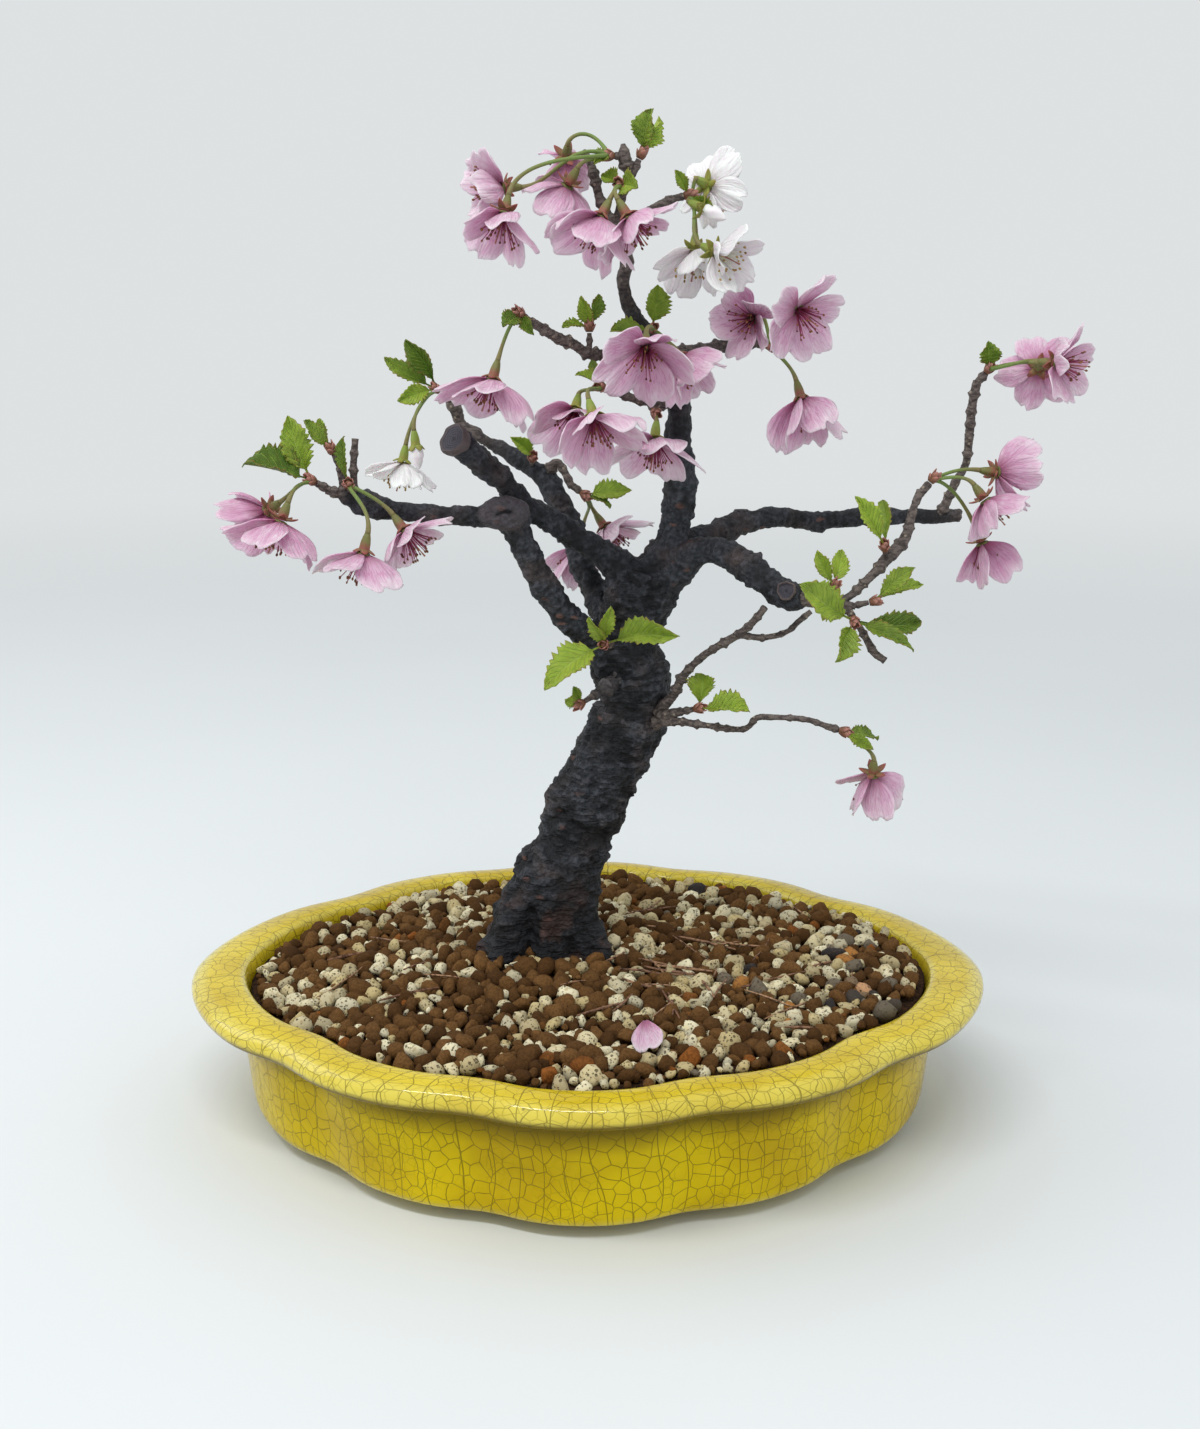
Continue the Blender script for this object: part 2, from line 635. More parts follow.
def soil_level(x, y):
    """Height at the wall, plus a bell-shaped mound at the trunk, less a sag to the left."""
    reach = np.hypot(x - TRUNK_FOOT[0], y - TRUNK_FOOT[1])
    return SOIL_AT_WALL + MOUND_HEIGHT * bell(reach, MOUND_WIDTH) - np.clip(-40 - x, 0, None) / 90 * 2.5


def spot_level(y):
    """The plane that the fallen petal lies on, rising toward the back."""
    return soil_level(*FALLEN_PETAL) + 4 + np.tan(math.radians(PETAL_SLOPE)) * (y - FALLEN_PETAL[1])


def soil_bed():
    """Rings of the plan shrunk toward the middle, at the soil's level plus small lumps, closed by
    the cavity's wall and floor."""
    angles = np.arange(240) * 1.5
    shrink = np.linspace(0.02, 1, 60)[:, None]
    x, y = (side * shrink for side in plan_ring(130.2 - BED_INSET, 106.2 - BED_INSET, angles[None]))
    z = soil_level(x, y) - 1.1 + 0.7 * lattice_noise(np.stack([x, y, 0 * x], -1), 3.2, 4)
    rings = [*np.stack([x, y, z], -1)]
    for half_length, half_width, level in CAVITY[::-1]:
        x, y = plan_ring(half_length - SOIL_GAP, half_width - SOIL_GAP, angles)
        rings.append(np.stack([x, y, 0 * angles + level], -1))
    rings[-1][:, 2] += SOIL_GAP
    return close_rings(np.array(rings)[::-1])


# %% [markdown]
# ## Clay and pumice
# Baked clay is matt and crumbly, chocolate to rust brown, darker where it is damp. Pumice is
# cream to grey, full of small pits with dark grit in them. Every grain brings its own number,
# which picks its shade, so that no two neighbours match.

# %% Grain finishes
def clay_finish():
    """Two browns by chance, a few rust grains, dark crumbs, and darker where damp."""
    clay = Finish("baked_clay", {"IOR": 1.4, "Specular IOR Level": 0.1})
    place = clay.place()
    _, damp, pick = clay.lay()
    crumb = clay.noise(place, 0.0009, 4.0)
    colour = clay.mix(pick.step(0.0, 0.7), tone(82, 56, 31), tone(116, 83, 48))
    colour = clay.mix(pick.step(0.95, 0.99), colour, tone(146, 88, 40))
    colour = clay.mix(crumb.step(0.35, 0.7), colour, clay.mix(0.5, colour, tone(60, 41, 25)))
    colour = clay.mix(0.45 * damp, colour, tone(50, 33, 19))
    return clay.dress(colour, 0.95, crumb, 0.0005)


def pumice_finish():
    """Cream to grey by chance, with dark grit and dark round pits of two sizes."""
    pumice = Finish("pumice", {"IOR": 1.45, "Specular IOR Level": 0.2})
    place = pumice.place()
    _, dull, pick = pumice.lay()
    wide_pit = 1 - pumice.cells(pumice.warp(place, 0.0012, 0.001), 0.0021).step(0.15, 0.27)
    small_pit = 1 - pumice.cells(place, 0.0012).step(0.12, 0.3)
    pit = wide_pit.math("MAXIMUM", 0.7 * small_pit)
    grit = pumice.noise(place, 0.0016, 3.0).step(0.56, 0.66)
    colour = pumice.over(
        pumice.mix(pick.step(0.1, 0.9), tone(232, 223, 188), tone(190, 172, 124)),
        (0.6 * dull, tone(150, 144, 126)), (0.5 * grit, tone(156, 130, 84)), (0.85 * pit, tone(88, 76, 54)))
    return pumice.dress(colour, 0.85, 1 - pit, 0.0008)


def dark_finish():
    """Black to grey by chance, with a few tan and a few pale pink stones."""
    stone = Finish("dark_grit", {"IOR": 1.45, "Specular IOR Level": 0.2})
    place = stone.place()
    _, _, pick = stone.lay()
    rough = stone.noise(place, 0.001, 4.0)
    colour = stone.over(
        tone(50, 46, 46), (pick.step(0.2, 0.5), tone(112, 102, 86)),
        (pick.step(0.78, 0.84), tone(164, 112, 56)), (pick.step(0.95, 0.98), tone(206, 164, 128)),
        (rough.step(0.5, 0.7), tone(74, 62, 50)))
    return stone.dress(colour, 0.85, rough, 0.0004)


def bed_finish():
    """Dark crumbs of clay, seen between the grains."""
    bed = Finish("bed_of_fines", {"Specular IOR Level": 0.2})
    place = bed.place()
    crumb = bed.noise(place, 0.0014, 5.0)
    colour = bed.mix(crumb.step(0.35, 0.7), tone(34, 21, 12), tone(70, 45, 26))
    return bed.dress(colour, 0.95, crumb, 0.0012)


CLAY, PUMICE, DARK, BED = clay_finish(), pumice_finish(), dark_finish(), bed_finish()
bed = Piece("soil_bed", BED)
bed.add(*soil_bed())
bed.make("soil", "soil")

# %% Where the grains lie
LARGE_PITCH, SMALL_PITCH = 7.0, 3.8
SETTLING_ROUNDS = 14
FLARE_AT_SOIL = 18
ROOTS = np.array([                # the bearing of each root, how far it stands out, its width in degrees
    [192, 10, 20], [221, 11, 12], [245, -6, 9], [268, 4, 15], [327, 11, 17], [60, 7, 24], [125, 8, 22],
])
chance = np.random.default_rng(23)


def root_ridges(bearing):
    """How far the roots stand out at each bearing: a bell for each root."""
    return (ROOTS[:, 1] * bell(degrees_from(bearing, ROOTS[:, 0]), ROOTS[:, 2])).sum(-1)


def inside_oval(spot, half_length, half_width):
    """|x / a|^p + |y / b|^p, which is below 1 inside the oval."""
    x, y = np.abs(spot).T
    return (x / half_length) ** PLAN_POWER + (y / half_width) ** PLAN_POWER


def lies_free(spot):
    """Whether each spot lies inside the wall and outside the roots."""
    dip = notch_dip(np.degrees(np.arctan2(spot[:, 1] / 106, spot[:, 0] / 130)))
    from_tree = spot - TRUNK_FOOT
    bearing = np.degrees(np.arctan2(from_tree[:, 1], from_tree[:, 0]))
    outside_roots = np.hypot(*from_tree.T) > FLARE_AT_SOIL + root_ridges(bearing) + 0.4
    return (inside_oval(spot, 128.6, 104.6) < dip**PLAN_POWER * 0.985) & outside_roots


def grain_places(pitch):
    """Points of a nudged grid that lie free."""
    x, y = np.meshgrid(np.arange(-132, 132, pitch), np.arange(-108, 108, pitch * 0.87))
    x = x + (np.arange(len(x)) % 2)[:, None] * pitch / 2
    spot = np.stack([x, y], -1).reshape(-1, 2) + chance.uniform(-0.36, 0.36, (x.size, 2)) * pitch
    return spot[lies_free(spot)]


def settled(spot, radius):
    """Rounds in which every two grains that overlap move apart by a part of their overlap."""
    for _ in range(SETTLING_ROUNDS):
        apart = spot[:, None] - spot[None]
        away = np.linalg.norm(apart, axis=-1) + 99 * np.eye(len(spot))
        push = np.clip(0.9 * (radius[:, None] + radius) - away, 0, None) / away
        spot = spot + 0.3 * (apart * push[..., None]).sum(axis=1)
    return spot


large = grain_places(LARGE_PITCH)
large_wide = 2.5 + 2.2 * chance.beta(1.8, 1.8, len(large))
large = settled(large, large_wide)
large, large_wide = large[lies_free(large)], large_wide[lies_free(large)]
small = grain_places(SMALL_PITCH)
small = small[(np.linalg.norm(small[:, None] - large[None], axis=-1) - 0.8 * large_wide).min(axis=1) > 0]
spots = np.vstack([large, small])
wide = np.concatenate([large_wide, chance.uniform(1.3, 2.4, len(small))])
large_rise = chance.uniform(-0.6, 0.9, len(large)) + 0.2 * large_wide
rise = np.concatenate([large_rise, chance.uniform(0, 1.5, len(small))])
rise = rise + 1.8 * np.clip(spots[:, 0] / 50 - 1.2, 0, 1)
print("large grains", len(large), "small grains", len(small))

# %% Shapes of the grains
BALL_POINTS, BALL_FACES = ball(2)


def turns(count):
    """A random turn for each grain, as the rotation matrix of a random unit quaternion."""
    w, x, y, z = unit(chance.normal(size=(count, 4))).T
    rows = [
        [1 - 2 * (y * y + z * z), 2 * (x * y - z * w), 2 * (x * z + y * w)],
        [2 * (x * y + z * w), 1 - 2 * (x * x + z * z), 2 * (y * z - x * w)],
        [2 * (x * z - y * w), 2 * (y * z + x * w), 1 - 2 * (x * x + y * y)],
    ]
    return np.moveaxis(np.array(rows), -1, 0)


def grain_piece(name, finish, chosen, lumps, flatness, cuts):
    """Balls times 1 + lumps * noise, with the part beyond each of a few planes pressed onto that
    plane, stretched along three axes, turned and set on the soil."""
    count = len(chosen)
    offset = chance.uniform(0, 90, (count, 1, 3))
    swell = 1 + lumps * lattice_noise(BALL_POINTS[None] + offset, 0.9, 2)[..., None]
    shape = BALL_POINTS[None] * swell
    for _ in range(cuts):
        way = unit(chance.normal(size=(count, 1, 3)))
        beyond = (shape * way).sum(axis=-1, keepdims=True) - chance.uniform(0.55, 0.85, (count, 1, 1))
        shape = shape - way * np.clip(beyond, 0, None)
    axes = chance.uniform(flatness, 1.25, (count, 1, 3))
    shape = shape * axes * wide[chosen][:, None, None]
    shape = np.einsum("nij,nvj->nvi", turns(count), shape)
    spot = spots[chosen]
    height = soil_level(*spot.T) + rise[chosen]
    near = np.hypot(*(spot - FALLEN_PETAL).T) < PETAL_SPOT
    over = (shape[..., 2] - spot_level(shape[..., 1] + spot[:, 1, None])).max(axis=1)
    height = np.where(near, -over, height)
    shape = shape + np.stack([spot[:, 0], spot[:, 1], height], -1)[:, None]
    lay = np.stack([0 * height, chance.uniform(0, 1, count) ** 2, chance.uniform(0, 1, count)], -1)
    lay = np.broadcast_to(lay[:, None], shape.shape).reshape(-1, 3)
    piece = Piece(name, finish)
    piece.add(shape, [copies(BALL_FACES, count, len(BALL_POINTS))], lay)
    piece.make("soil", "soil")


bias = lattice_noise(np.column_stack([spots, 0 * spots[:, 0]]), 34, 9) + spots[:, 0] / 260
kind = chance.uniform(0, 1, len(spots)) - 0.16 * bias
CLAY_ABOVE, DARK_BELOW = 0.41, -0.04
pale = (kind <= CLAY_ABOVE) & (kind > DARK_BELOW)
grain_piece("clay_grains", CLAY, np.flatnonzero(kind > CLAY_ABOVE), 0.34, 0.74, 5)
grain_piece("pumice_grains", PUMICE, np.flatnonzero(pale), 0.34, 0.52, 5)
grain_piece("dark_grains", DARK, np.flatnonzero(kind <= DARK_BELOW), 0.3, 0.7, 4)

# %% [markdown]
# ## Needles and rootlets
# Pine needles and bits of root have been left on the bed, most of them right of the trunk. Each
# is a thin tube on a bent path that lies on the grains.

# %% Litter on the bed
straw = Finish("dry_litter", {"Specular IOR Level": 0.3})
streak = straw.noise(straw.place(), 0.0016, 4.0)
colour = straw.mix(straw.lay()[2], tone(122, 86, 66), tone(184, 146, 112))
LITTER = straw.dress(straw.mix(streak.step(0.4, 0.7), colour, tone(62, 38, 28)), 0.8, streak, 0.0002)
ON_GRAINS = 3.6                     # how far above the soil's level a needle lies
piece = Piece("soil_litter", LITTER)
by_trunk = chance.normal([35, -22], [32, 22], (32, 2))
for middle in np.vstack([by_trunk, chance.uniform([-100, -70], [90, 70], (22, 2))]):
    length, bearing = chance.uniform(8, 30), chance.normal(0.3, 1.0)
    share = np.linspace(-0.5, 0.5, 12)
    bend = chance.uniform(-0.25, 0.25) * length * (share**2 - 0.08)
    way = np.array([np.cos(bearing), np.sin(bearing)])
    flat = middle + share[:, None] * length * way + bend[:, None] * way[::-1] * [-1, 1]
    from_trunk, from_petal = (np.hypot(*(flat - spot).T).min() for spot in (TRUNK_FOOT, FALLEN_PETAL))
    if inside_oval(flat, 118, 95).max() > 1 or from_trunk < 30 or from_petal < PETAL_SPOT + 3:
        continue
    uneven = 0.5 * lattice_noise(np.column_stack([flat, 0 * flat[:, 0]]), 8, 5)
    radius = chance.uniform(0.3, 0.65) * (1 - 0.5 * np.abs(share * 2) ** 2)
    path = np.column_stack([flat, soil_level(*flat.T) + ON_GRAINS + uneven])
    piece.add(*tube(path, radius, 5), (0, 0, chance.uniform()))
piece.make("soil", "soil")

# %% [markdown]
# ## The wood
# The tree is a row of limbs, each a smooth path with a radius at every point. An old cherry has
# near-black bark with ring-shaped ridges, lumps and rust-coloured lenticels. The thick limbs and
# the root flare are made as plain tubes, melted together by a voxel remesh, and only then
# roughened, so that forks flow into one another. The thin twigs stay tubes of their own.

# %% Limbs
LIMBS = {
    "trunk": [
      [-13, 10, 84, 18], [-10, 11, 91, 17], [-6, 12, 98, 14.2], [-4, 13, 107, 13.6],
      [-1, 14, 114, 15.8], [4, 15, 125, 14.2], [8, 15, 133, 14.4], [15, 15, 147, 14.6],
      [18, 15, 157, 13], [17, 14, 164, 14.6], [15, 13, 170, 13.8], [13, 12, 177, 13.2],
      [16, 12, 188, 12.8], [19, 12, 198, 13], [23, 12, 206, 11],
    ],
    "apex": [
      [22, 12, 200, 12], [28, 12, 211, 8.2], [32, 11, 221, 5.8], [34, 9, 237, 6.4],
      [33, 6, 256, 5.2], [33, 3, 268, 4.8], [30, 0, 281, 4.3], [23, -1, 291, 3.5],
      [17, -2, 299, 3.2], [13, -4, 309, 2.8], [14, -6, 320, 2.5], [10, -8, 330, 2.3],
    ],
    "apexTip": [
      [10, -8, 329, 2.3], [5, -9, 338, 2], [3, -10, 345, 1.8], [1, -10, 351, 1.6], [-1, -9, 354, 1.3],
    ],
    "apexTwig": [[10, -8, 329, 1.8], [12, -8, 338, 1.5], [16, -8, 347, 1.5], [17, -8, 349, 1.6]],
    "bud": [[15, -8, 346, 1.4], [13.5, -8.5, 350, 2.6], [13, -9, 353, 2.4], [12.5, -9, 356.5, 0.8]],
    "whiteTwig": [[13, -7, 325, 1.8], [19, -5, 333, 1.5], [25, -2, 337, 1.5], [30, 0, 339, 2]],
    "apexLeft": [
      [24, -1, 288, 2.6], [12, -5, 286, 2.3], [1, -9, 287, 2.4], [-4, -12, 290, 2.1],
      [-9, -15, 292, 2.2], [-14, -18, 295, 2], [-19, -21, 298, 1.9],
    ],
    "apexRight": [
      [26, -1, 287, 2.9], [33, 2, 287, 2.7], [41, 5, 288, 2.5], [50, 9, 289, 2.7],
      [57, 12, 289, 2.4], [62, 14, 291, 2.9],
    ],
    "lowLeftTwig": [[31, 2, 269, 2.5], [22, -4, 270, 1.9], [15, -9, 272, 1.8], [9, -14, 275, 1.5]],
    "limb1": [
      [17, 12, 204, 9], [7, 9, 213, 5.4], [-2, 5, 219, 4.9], [-13, 1, 227, 4.8],
      [-24, -3, 234, 4.6], [-30, -7, 243, 4.5], [-38, -11, 250, 4.3], [-45, -15, 257, 4.8],
    ],
    "limb2": [
      [9, 8, 173, 6.5], [1, 2, 184, 5.8], [-6, -2, 191, 5.6], [-13, -5, 201, 5.2],
      [-19, -8, 212, 5], [-24, -10, 223, 5.2], [-28, -12, 231, 5.8], [-38, -15, 231, 4.1],
      [-54, -20, 232, 3.6], [-66, -24, 234, 3.6], [-75, -27, 236, 4.6], [-81, -29, 239, 3.6],
      [-85, -31, 241, 2.7],
    ],
    "limb3": [
      [6, 14, 191, 5.5], [2, 18, 200, 5], [-2, 22, 208, 4.9], [-7, 30, 222, 5],
      [-11, 33, 231, 4.6], [-16, 36, 238, 4.2], [-22, 39, 243, 3.8], [-34, 44, 250, 3.1],
      [-42, 47, 254, 2.7], [-49, 48, 259, 2.2], [-52, 47, 268, 2.4],
    ],
    "limb3Twig": [[-16, 36, 240, 2.3], [-12, 35, 245, 2.2], [-9, 34, 242, 1.8], [-6, 32, 236, 1.7]],
    "cutStub": [[-80, -28, 239, 1.9], [-80, -28, 248, 1.5], [-79, -28, 259, 1.4]],
    "leftTwig": [[-83, -30, 240, 1.8], [-84, -31, 250, 1.5]],
    "leftSpur": [[-83, -30, 240, 2.2], [-89, -32, 242, 1.8]],
    "limbA": [
      [26, 12, 204, 8], [40, 15, 217, 5.4], [48, 19, 220, 5], [58, 24, 223.5, 4.8],
      [72, 29, 225, 4], [88, 33, 223, 3.8], [104, 36, 224, 3.7], [120, 38, 224, 3.5],
      [135, 40, 224, 3.3], [145, 41, 224, 2.5],
    ],
    "knobA": [[58, 24, 223, 3.6], [58, 25, 228.5, 2.8]],
    "twigA": [
      [136, 40, 224, 2.4], [139, 38, 232, 2.1], [141, 36, 238, 1.9], [144, 34, 245, 1.7],
      [144, 31, 256, 1.9], [144, 29, 266, 2.1], [145, 27, 276, 1.9],
    ],
    "limbB": [
      [26, 11, 202, 9], [40, 4, 215, 5.6], [49, -1, 216, 5.2], [56, -6, 213, 5.5],
      [63, -12, 208, 5.3], [71, -17, 203, 5.5], [77, -20, 203, 4.4],
    ],
    "twigB": [
      [75, -19, 202, 3], [83, -22, 201, 2.1], [92, -23, 203, 1.8], [101, -21, 211, 1.8],
      [106, -19, 216, 2.5], [113, -15, 223, 2.3], [116, -12, 233, 1.6], [119, -9, 239, 1.8],
    ],
    "twigB2": [[88, -23, 202, 1.8], [95, -24, 200, 1.5]],
    "twigB3": [[90, -23, 202, 1.6], [97, -26, 192, 1.4], [101, -29, 185, 1.6], [105, -31, 182, 1.3]],
    "twig1": [
      [24, 9, 152, 3], [32, 4, 161, 2.1], [36, 0, 170, 1.9], [44, -4, 179, 1.7],
      [56, -10, 188, 1.8], [62, -13, 195, 1.4], [64, -14, 198, 1.5],
    ],
    "twig1Side": [
      [55, -10, 187, 1.6], [65, -9, 186, 1.3], [73, -8, 188, 1.2], [77, -7, 191.5, 1.3],
      [81.5, -6, 195, 1.1],
    ],
    "twig2": [
      [24, 7, 150, 3], [33, 1, 152, 1.8], [42, -4, 152, 1.5], [57, -11, 152, 1.2],
      [62, -14, 157, 1.3], [68, -17, 158, 1.2], [79, -20, 158, 1.2], [87, -23, 156, 1.3],
    ],
    "spur2": [[27, 5, 153, 2.4], [35, 0, 156, 1.9]],
    "stub": [[12, 5, 167, 4.4], [6, -1, 165, 2.8], [2, -5, 163, 1.6]],
}


# %% Shoots, blooms and leaves
def bloom(x, y, z, look_x, look_y, look_z, opened, turn, length, **more):
    """Centre of the mouth, the way it looks, degrees that its petals open, degrees that they are
    turned, and their length. More: white, a place that the stalk goes via, the bloom that it joins
    in one piece, or the petals it still has."""
    return {"at": [x, y, z], "look": [look_x, look_y, look_z], "open": opened, "turn": turn,
            "length": length, **more}


def shoot(name, spur, leaves, *blooms, bud=None):
    """A spur is its foot, its end and its radius. A leaf is its tip, its width and the way its
    upper side looks. A closed bud is a place and the way it points."""
    return {"name": name, "spur": (spur[:3], spur[3:6], spur[6]), "blooms": blooms,
            "bud": bud and [{"at": bud[:3], "look": bud[3:]}] or [],
            "leaves": [{"tip": leaf[:3], "width": leaf[3], "look": leaf[4:]} for leaf in leaves]}


SHOOTS = [
    shoot("apex_bud", [12.5, -9, 352.5, 9.5, -10.5, 352.5, 1.3], [[3, -16, 350, 4, 0, -1, 0.5]],
        bloom(-28, -12, 342, -0.85, -0.3, -0.05, 44, 56, 15.5, via=[-6, -26, 357]),
        bloom(-27, -29, 333, -0.2, -0.45, -0.88, 42, 17, 16, via=[-4, -36, 350]),
        bloom(-6, -14, 343, -0.5, 0.3, -0.82, 56, 54, 15.2),
        bloom(-7, 1, 353, -0.1, 0.8, -0.55, 32, 14, 14, via=[2, 2, 364])),
    shoot("apex_leaf", [16, -8, 347.5, 18, -8, 351.5, 1.4], [
        [21, -14, 367, 7.6, -0.3, -1, 0.2], [26, -5, 365, 5.4, 0.8, -0.8, 0]]),
    shoot("apex_side", [13.5, -8, 341, 12, -12, 342.5, 1.2], [
        [17, -18, 342, 7.4, 0.1, -1, 0.1], [5, -13, 346, 4.8, -0.2, -1, 0.6]],
        bloom(5, -28, 332, -0.46, -0.3, -0.84, 47, 18, 18.7),
        bloom(14, -28, 332, 0.52, -0.2, -0.84, 58, 64, 16, joins=0)),
    shoot("white", [29, 0, 338.8, 33.5, 1, 340, 1.5], [
        [31, -4, 348, 3.4, 0, -1, 0], [44, -5, 334, 4, 0, -1, 0.3]],
        bloom(42, 6, 344, 0.6, 0.75, -0.28, 70, 31, 14, white=True),
        bloom(38, 3.5, 322, -0.05, -0.4, -0.92, 40, 66, 15.7, white=True),
        bloom(44, -15, 321, 0.7, -0.6, -0.36, 38, 66, 14.5, white=True),
        bud=[41, -3, 335.5, 0.85, -0.25, -0.4]),
    shoot("right_tip", [61, 14, 290.8, 64.5, 11, 289.5, 1.8], [],
        bloom(59, 3, 299, -0.5, -0.85, -0.15, 42, 62, 15),
        bloom(73, -10, 302, 0.5, -0.67, -0.52, 65, 34, 16.5),
        bloom(77, 5, 271, 0.25, -0.29, -0.92, 34, 55, 19)),
    shoot("apex_front", [20, -2, 294, 22, -6, 295, 1.4], [
        [25, -9, 310, 7.8, 0.2, -1, 0.1], [9, -14, 296, 5.6, 0, -0.7, 0.7]],
        bloom(20, -33, 290, -0.05, -0.77, -0.63, 55, 45, 19),
        bloom(32, -17, 286, 0.6, -0.3, -0.75, 38, 20, 16)),
    shoot("left_tip", [-18.5, -21, 297.5, -21, -22.5, 299.5, 1.3], [
        [-28, -28, 297, 6, 0, -1, 0.3], [-18, -27, 294, 3.6, 0.3, -1, 0]],
        bloom(-32, -24, 279, -0.28, -0.22, -0.94, 53, 50, 21)),
    shoot("left_leaf", [1, -9, 288, 1, -9, 294, 1.2], [
        [5, -7, 307, 4.6, 0.5, -1, 0], [-2, -13, 306, 4.6, -0.4, -1, 0],
        [-8, -15, 297, 4.2, 0, -0.6, 0.8]]),
    shoot("low_left", [10, -13.2, 274.5, 6.5, -16.5, 275.5, 1.2], [
        [-3, -21, 281, 4.4, 0, -0.6, 0.8], [1, -13, 285, 3.4, -0.4, -1, 0.3]],
        bloom(-4, -17, 268, -0.19, -0.6, -0.78, 47, 27, 18.6),
        bloom(2.5, -40, 267.5, 0.24, -0.55, -0.8, 52, 63, 18.6)),
    shoot("low_front", [22, -3, 269.5, 23.5, -6.5, 267.5, 1.2], [],
        bloom(24, -15, 258, -0.09, -0.4, -0.91, 60, 36, 19.5)),
    shoot("inner", [-6.5, 32.2, 237, -2.5, 29.5, 234.5, 1.5], [
        [16, 24, 236, 6.8, 0, -0.8, 0.6], [9, 20, 231, 3.8, 0, -0.5, 0.8]],
        bloom(6.5, 39, 220, 0.55, -0.3, -0.78, 59, 34, 17),
        bloom(-4, 60, 209, -0.2, 0.2, -0.96, 30, 68, 17)),
    shoot("inner_leaf", [-21.5, 38, 243, -21, 34.2, 246, 1.1], [[-28, 26, 255, 5, -0.3, -0.8, 0.6]]),
    shoot("back_tip", [-51.5, 47, 267, -56.5, 45.5, 271, 1.8], [
        [-69, 40, 290, 7, -0.3, -1, 0.2], [-78, 46, 284, 6.2, 0.2, -0.8, 0.6],
        [-71, 36, 268, 6.4, 0, -1, 0.3]],
        bloom(-71, 40, 245, -0.19, -0.08, -0.98, 56, 59, 15, white=True),
        bud=[-65, 33, 251, 0.1, 0, -1]),
    shoot("end_spur", [-88, -31.8, 242, -92, -33.5, 244.5, 1.6], [
        [-100, -37, 267, 9, 0.1, -1, 0.2], [-113, -45, 254, 12, -0.1, -0.7, 0.7]],
        bloom(-110, -27, 234.5, -0.74, 0.45, -0.5, 45, 32, 16.5),
        bloom(-101, -52, 234, -0.35, -0.2, -0.92, 56, 33, 18)),
    shoot("end_top", [-80, -28.5, 240, -80.5, -33, 243, 1.5], [[-83, -37, 260, 4, -0.3, -1, 0]],
        bloom(-74, -52, 223.5, -0.23, -0.07, -0.97, 58, 24, 16.8),
        bloom(-62, -38, 229, 0.59, -0.26, -0.77, 60, 46, 15.5, joins=0)),
    shoot("end_twig", [-84, -31, 249, -86, -32, 254, 1.2], [
        [-94, -36, 266, 4.6, 0.5, -1, 0.3], [-91, -31, 266, 3.4, -0.5, -1, 0.2]]),
    shoot("grey_leaf", [106, -19, 216, 105, -21.5, 219.5, 1.2], [
        [94, -28, 239, 6.2, 0.2, -1, 0.1], [104, -15, 237, 5.2, -0.6, -1, 0]]),
    shoot("high_right", [144.8, 27.3, 275, 147.5, 25, 279, 1.7], [[147, 20, 290, 6.8, 0, -1, 0.1]],
        bloom(165, 17, 281, 0.25, 0.93, -0.25, 62, 3, 14.5),
        bloom(168, 6, 283, 0.75, -0.62, -0.1, 54, 49, 14.8, via=[156, 4, 283])),
    shoot("grey_tip", [118.8, -9.2, 238, 122, -9, 242, 1.6], [],
        bloom(147, -2, 245, 0.96, 0.2, -0.15, 45, 35, 16.6),
        bloom(141.2, -12, 236.4, 0.58, -0.2, -0.79, 48, 29, 14.5, joins=0),
        bloom(143, -3, 220, 0.42, -0.08, -0.9, 31, 54, 16, petals=[1, 2, 3])),
    shoot("fork_leaf", [82.5, -21.8, 201, 86, -24, 206, 1.1], [
        [80, -32, 220, 4.6, 0, -1, 0.4], [90, -19, 220, 5.4, 0.2, -1, 0.3]]),
    shoot("right_rosette", [92.5, -23.5, 200, 93.5, -27.5, 197, 1.3], [
        [75, -42, 211, 10.4, -0.1, -1, 0.3], [88, -38, 183, 7.2, 0.1, -1, 0.2],
        [119, -25, 195, 7.4, 0, -0.8, 0.7], [114, -38, 189, 5.2, 0, -0.9, 0.5]]),
    shoot("right_shoot", [94, -23.8, 200.3, 99.5, -24, 201.5, 1.2], [
        [113, -30, 215, 6, -0.2, -1, 0.4], [120, -18, 208, 5.4, -0.1, -0.6, 0.8]]),
    shoot("trunk_leaf", [10, 3, 181, 7, -5, 182.5, 1.7], [
        [-15, -24, 172, 11, -0.1, -0.8, 0.6], [31, -22, 189, 8.8, 0.1, -0.8, 0.6],
        [9, -14, 197, 4.8, 0, -1, 0.1], [0, -13, 193, 4.2, -0.4, -1, 0.1]]),
    shoot("trunk_bud", [3, -4, 163.5, -1, -6.5, 161.5, 1.2], [
        [-8, -9, 162, 4, 0, -1, 0.3], [-5, -6, 167, 2.8, -0.2, -1, 0]]),
    shoot("low_right", [34, 0.5, 155.6, 39.5, -2.5, 157.5, 1.5], [
        [43, 3, 170, 9, -0.2, -1, 0.2], [58, -17, 162, 9, 0, -0.8, 0.7]]),
    shoot("low_tip", [86, -22.7, 156.2, 90.5, -24.5, 155.2, 1.4], [
        [106, -20, 152, 5.6, 0, -0.6, 0.8], [101, -34, 151, 3.8, 0, -1, 0.5]],
        bloom(103, -28, 140, 0.08, 0.45, -0.88, 34, 45, 16.6)),
]
print(len(LIMBS), "limbs and", len(SHOOTS), "shoots")

# %% Root flare and thick limbs
FLARE_LEVELS = [36, 54, 62, 69, 77, 86, 96]
FLARE_RADII = [20, 19, 18, 17.8, 18.5, 18, 13.5]
THICK_NAMES = ["trunk", "apex", "limb1", "limb2", "limb3", "limbA", "limbB"]
SCAR_CENTRE, SCAR_SIZE = np.array([-29, -15, 232]), np.array([9, 4.5, 6])
THICK = [smooth_path(LIMBS[name], 1.5) for name in THICK_NAMES]
WOOD_VOXEL, SOFTENING_ROUNDS = 0.83, 2


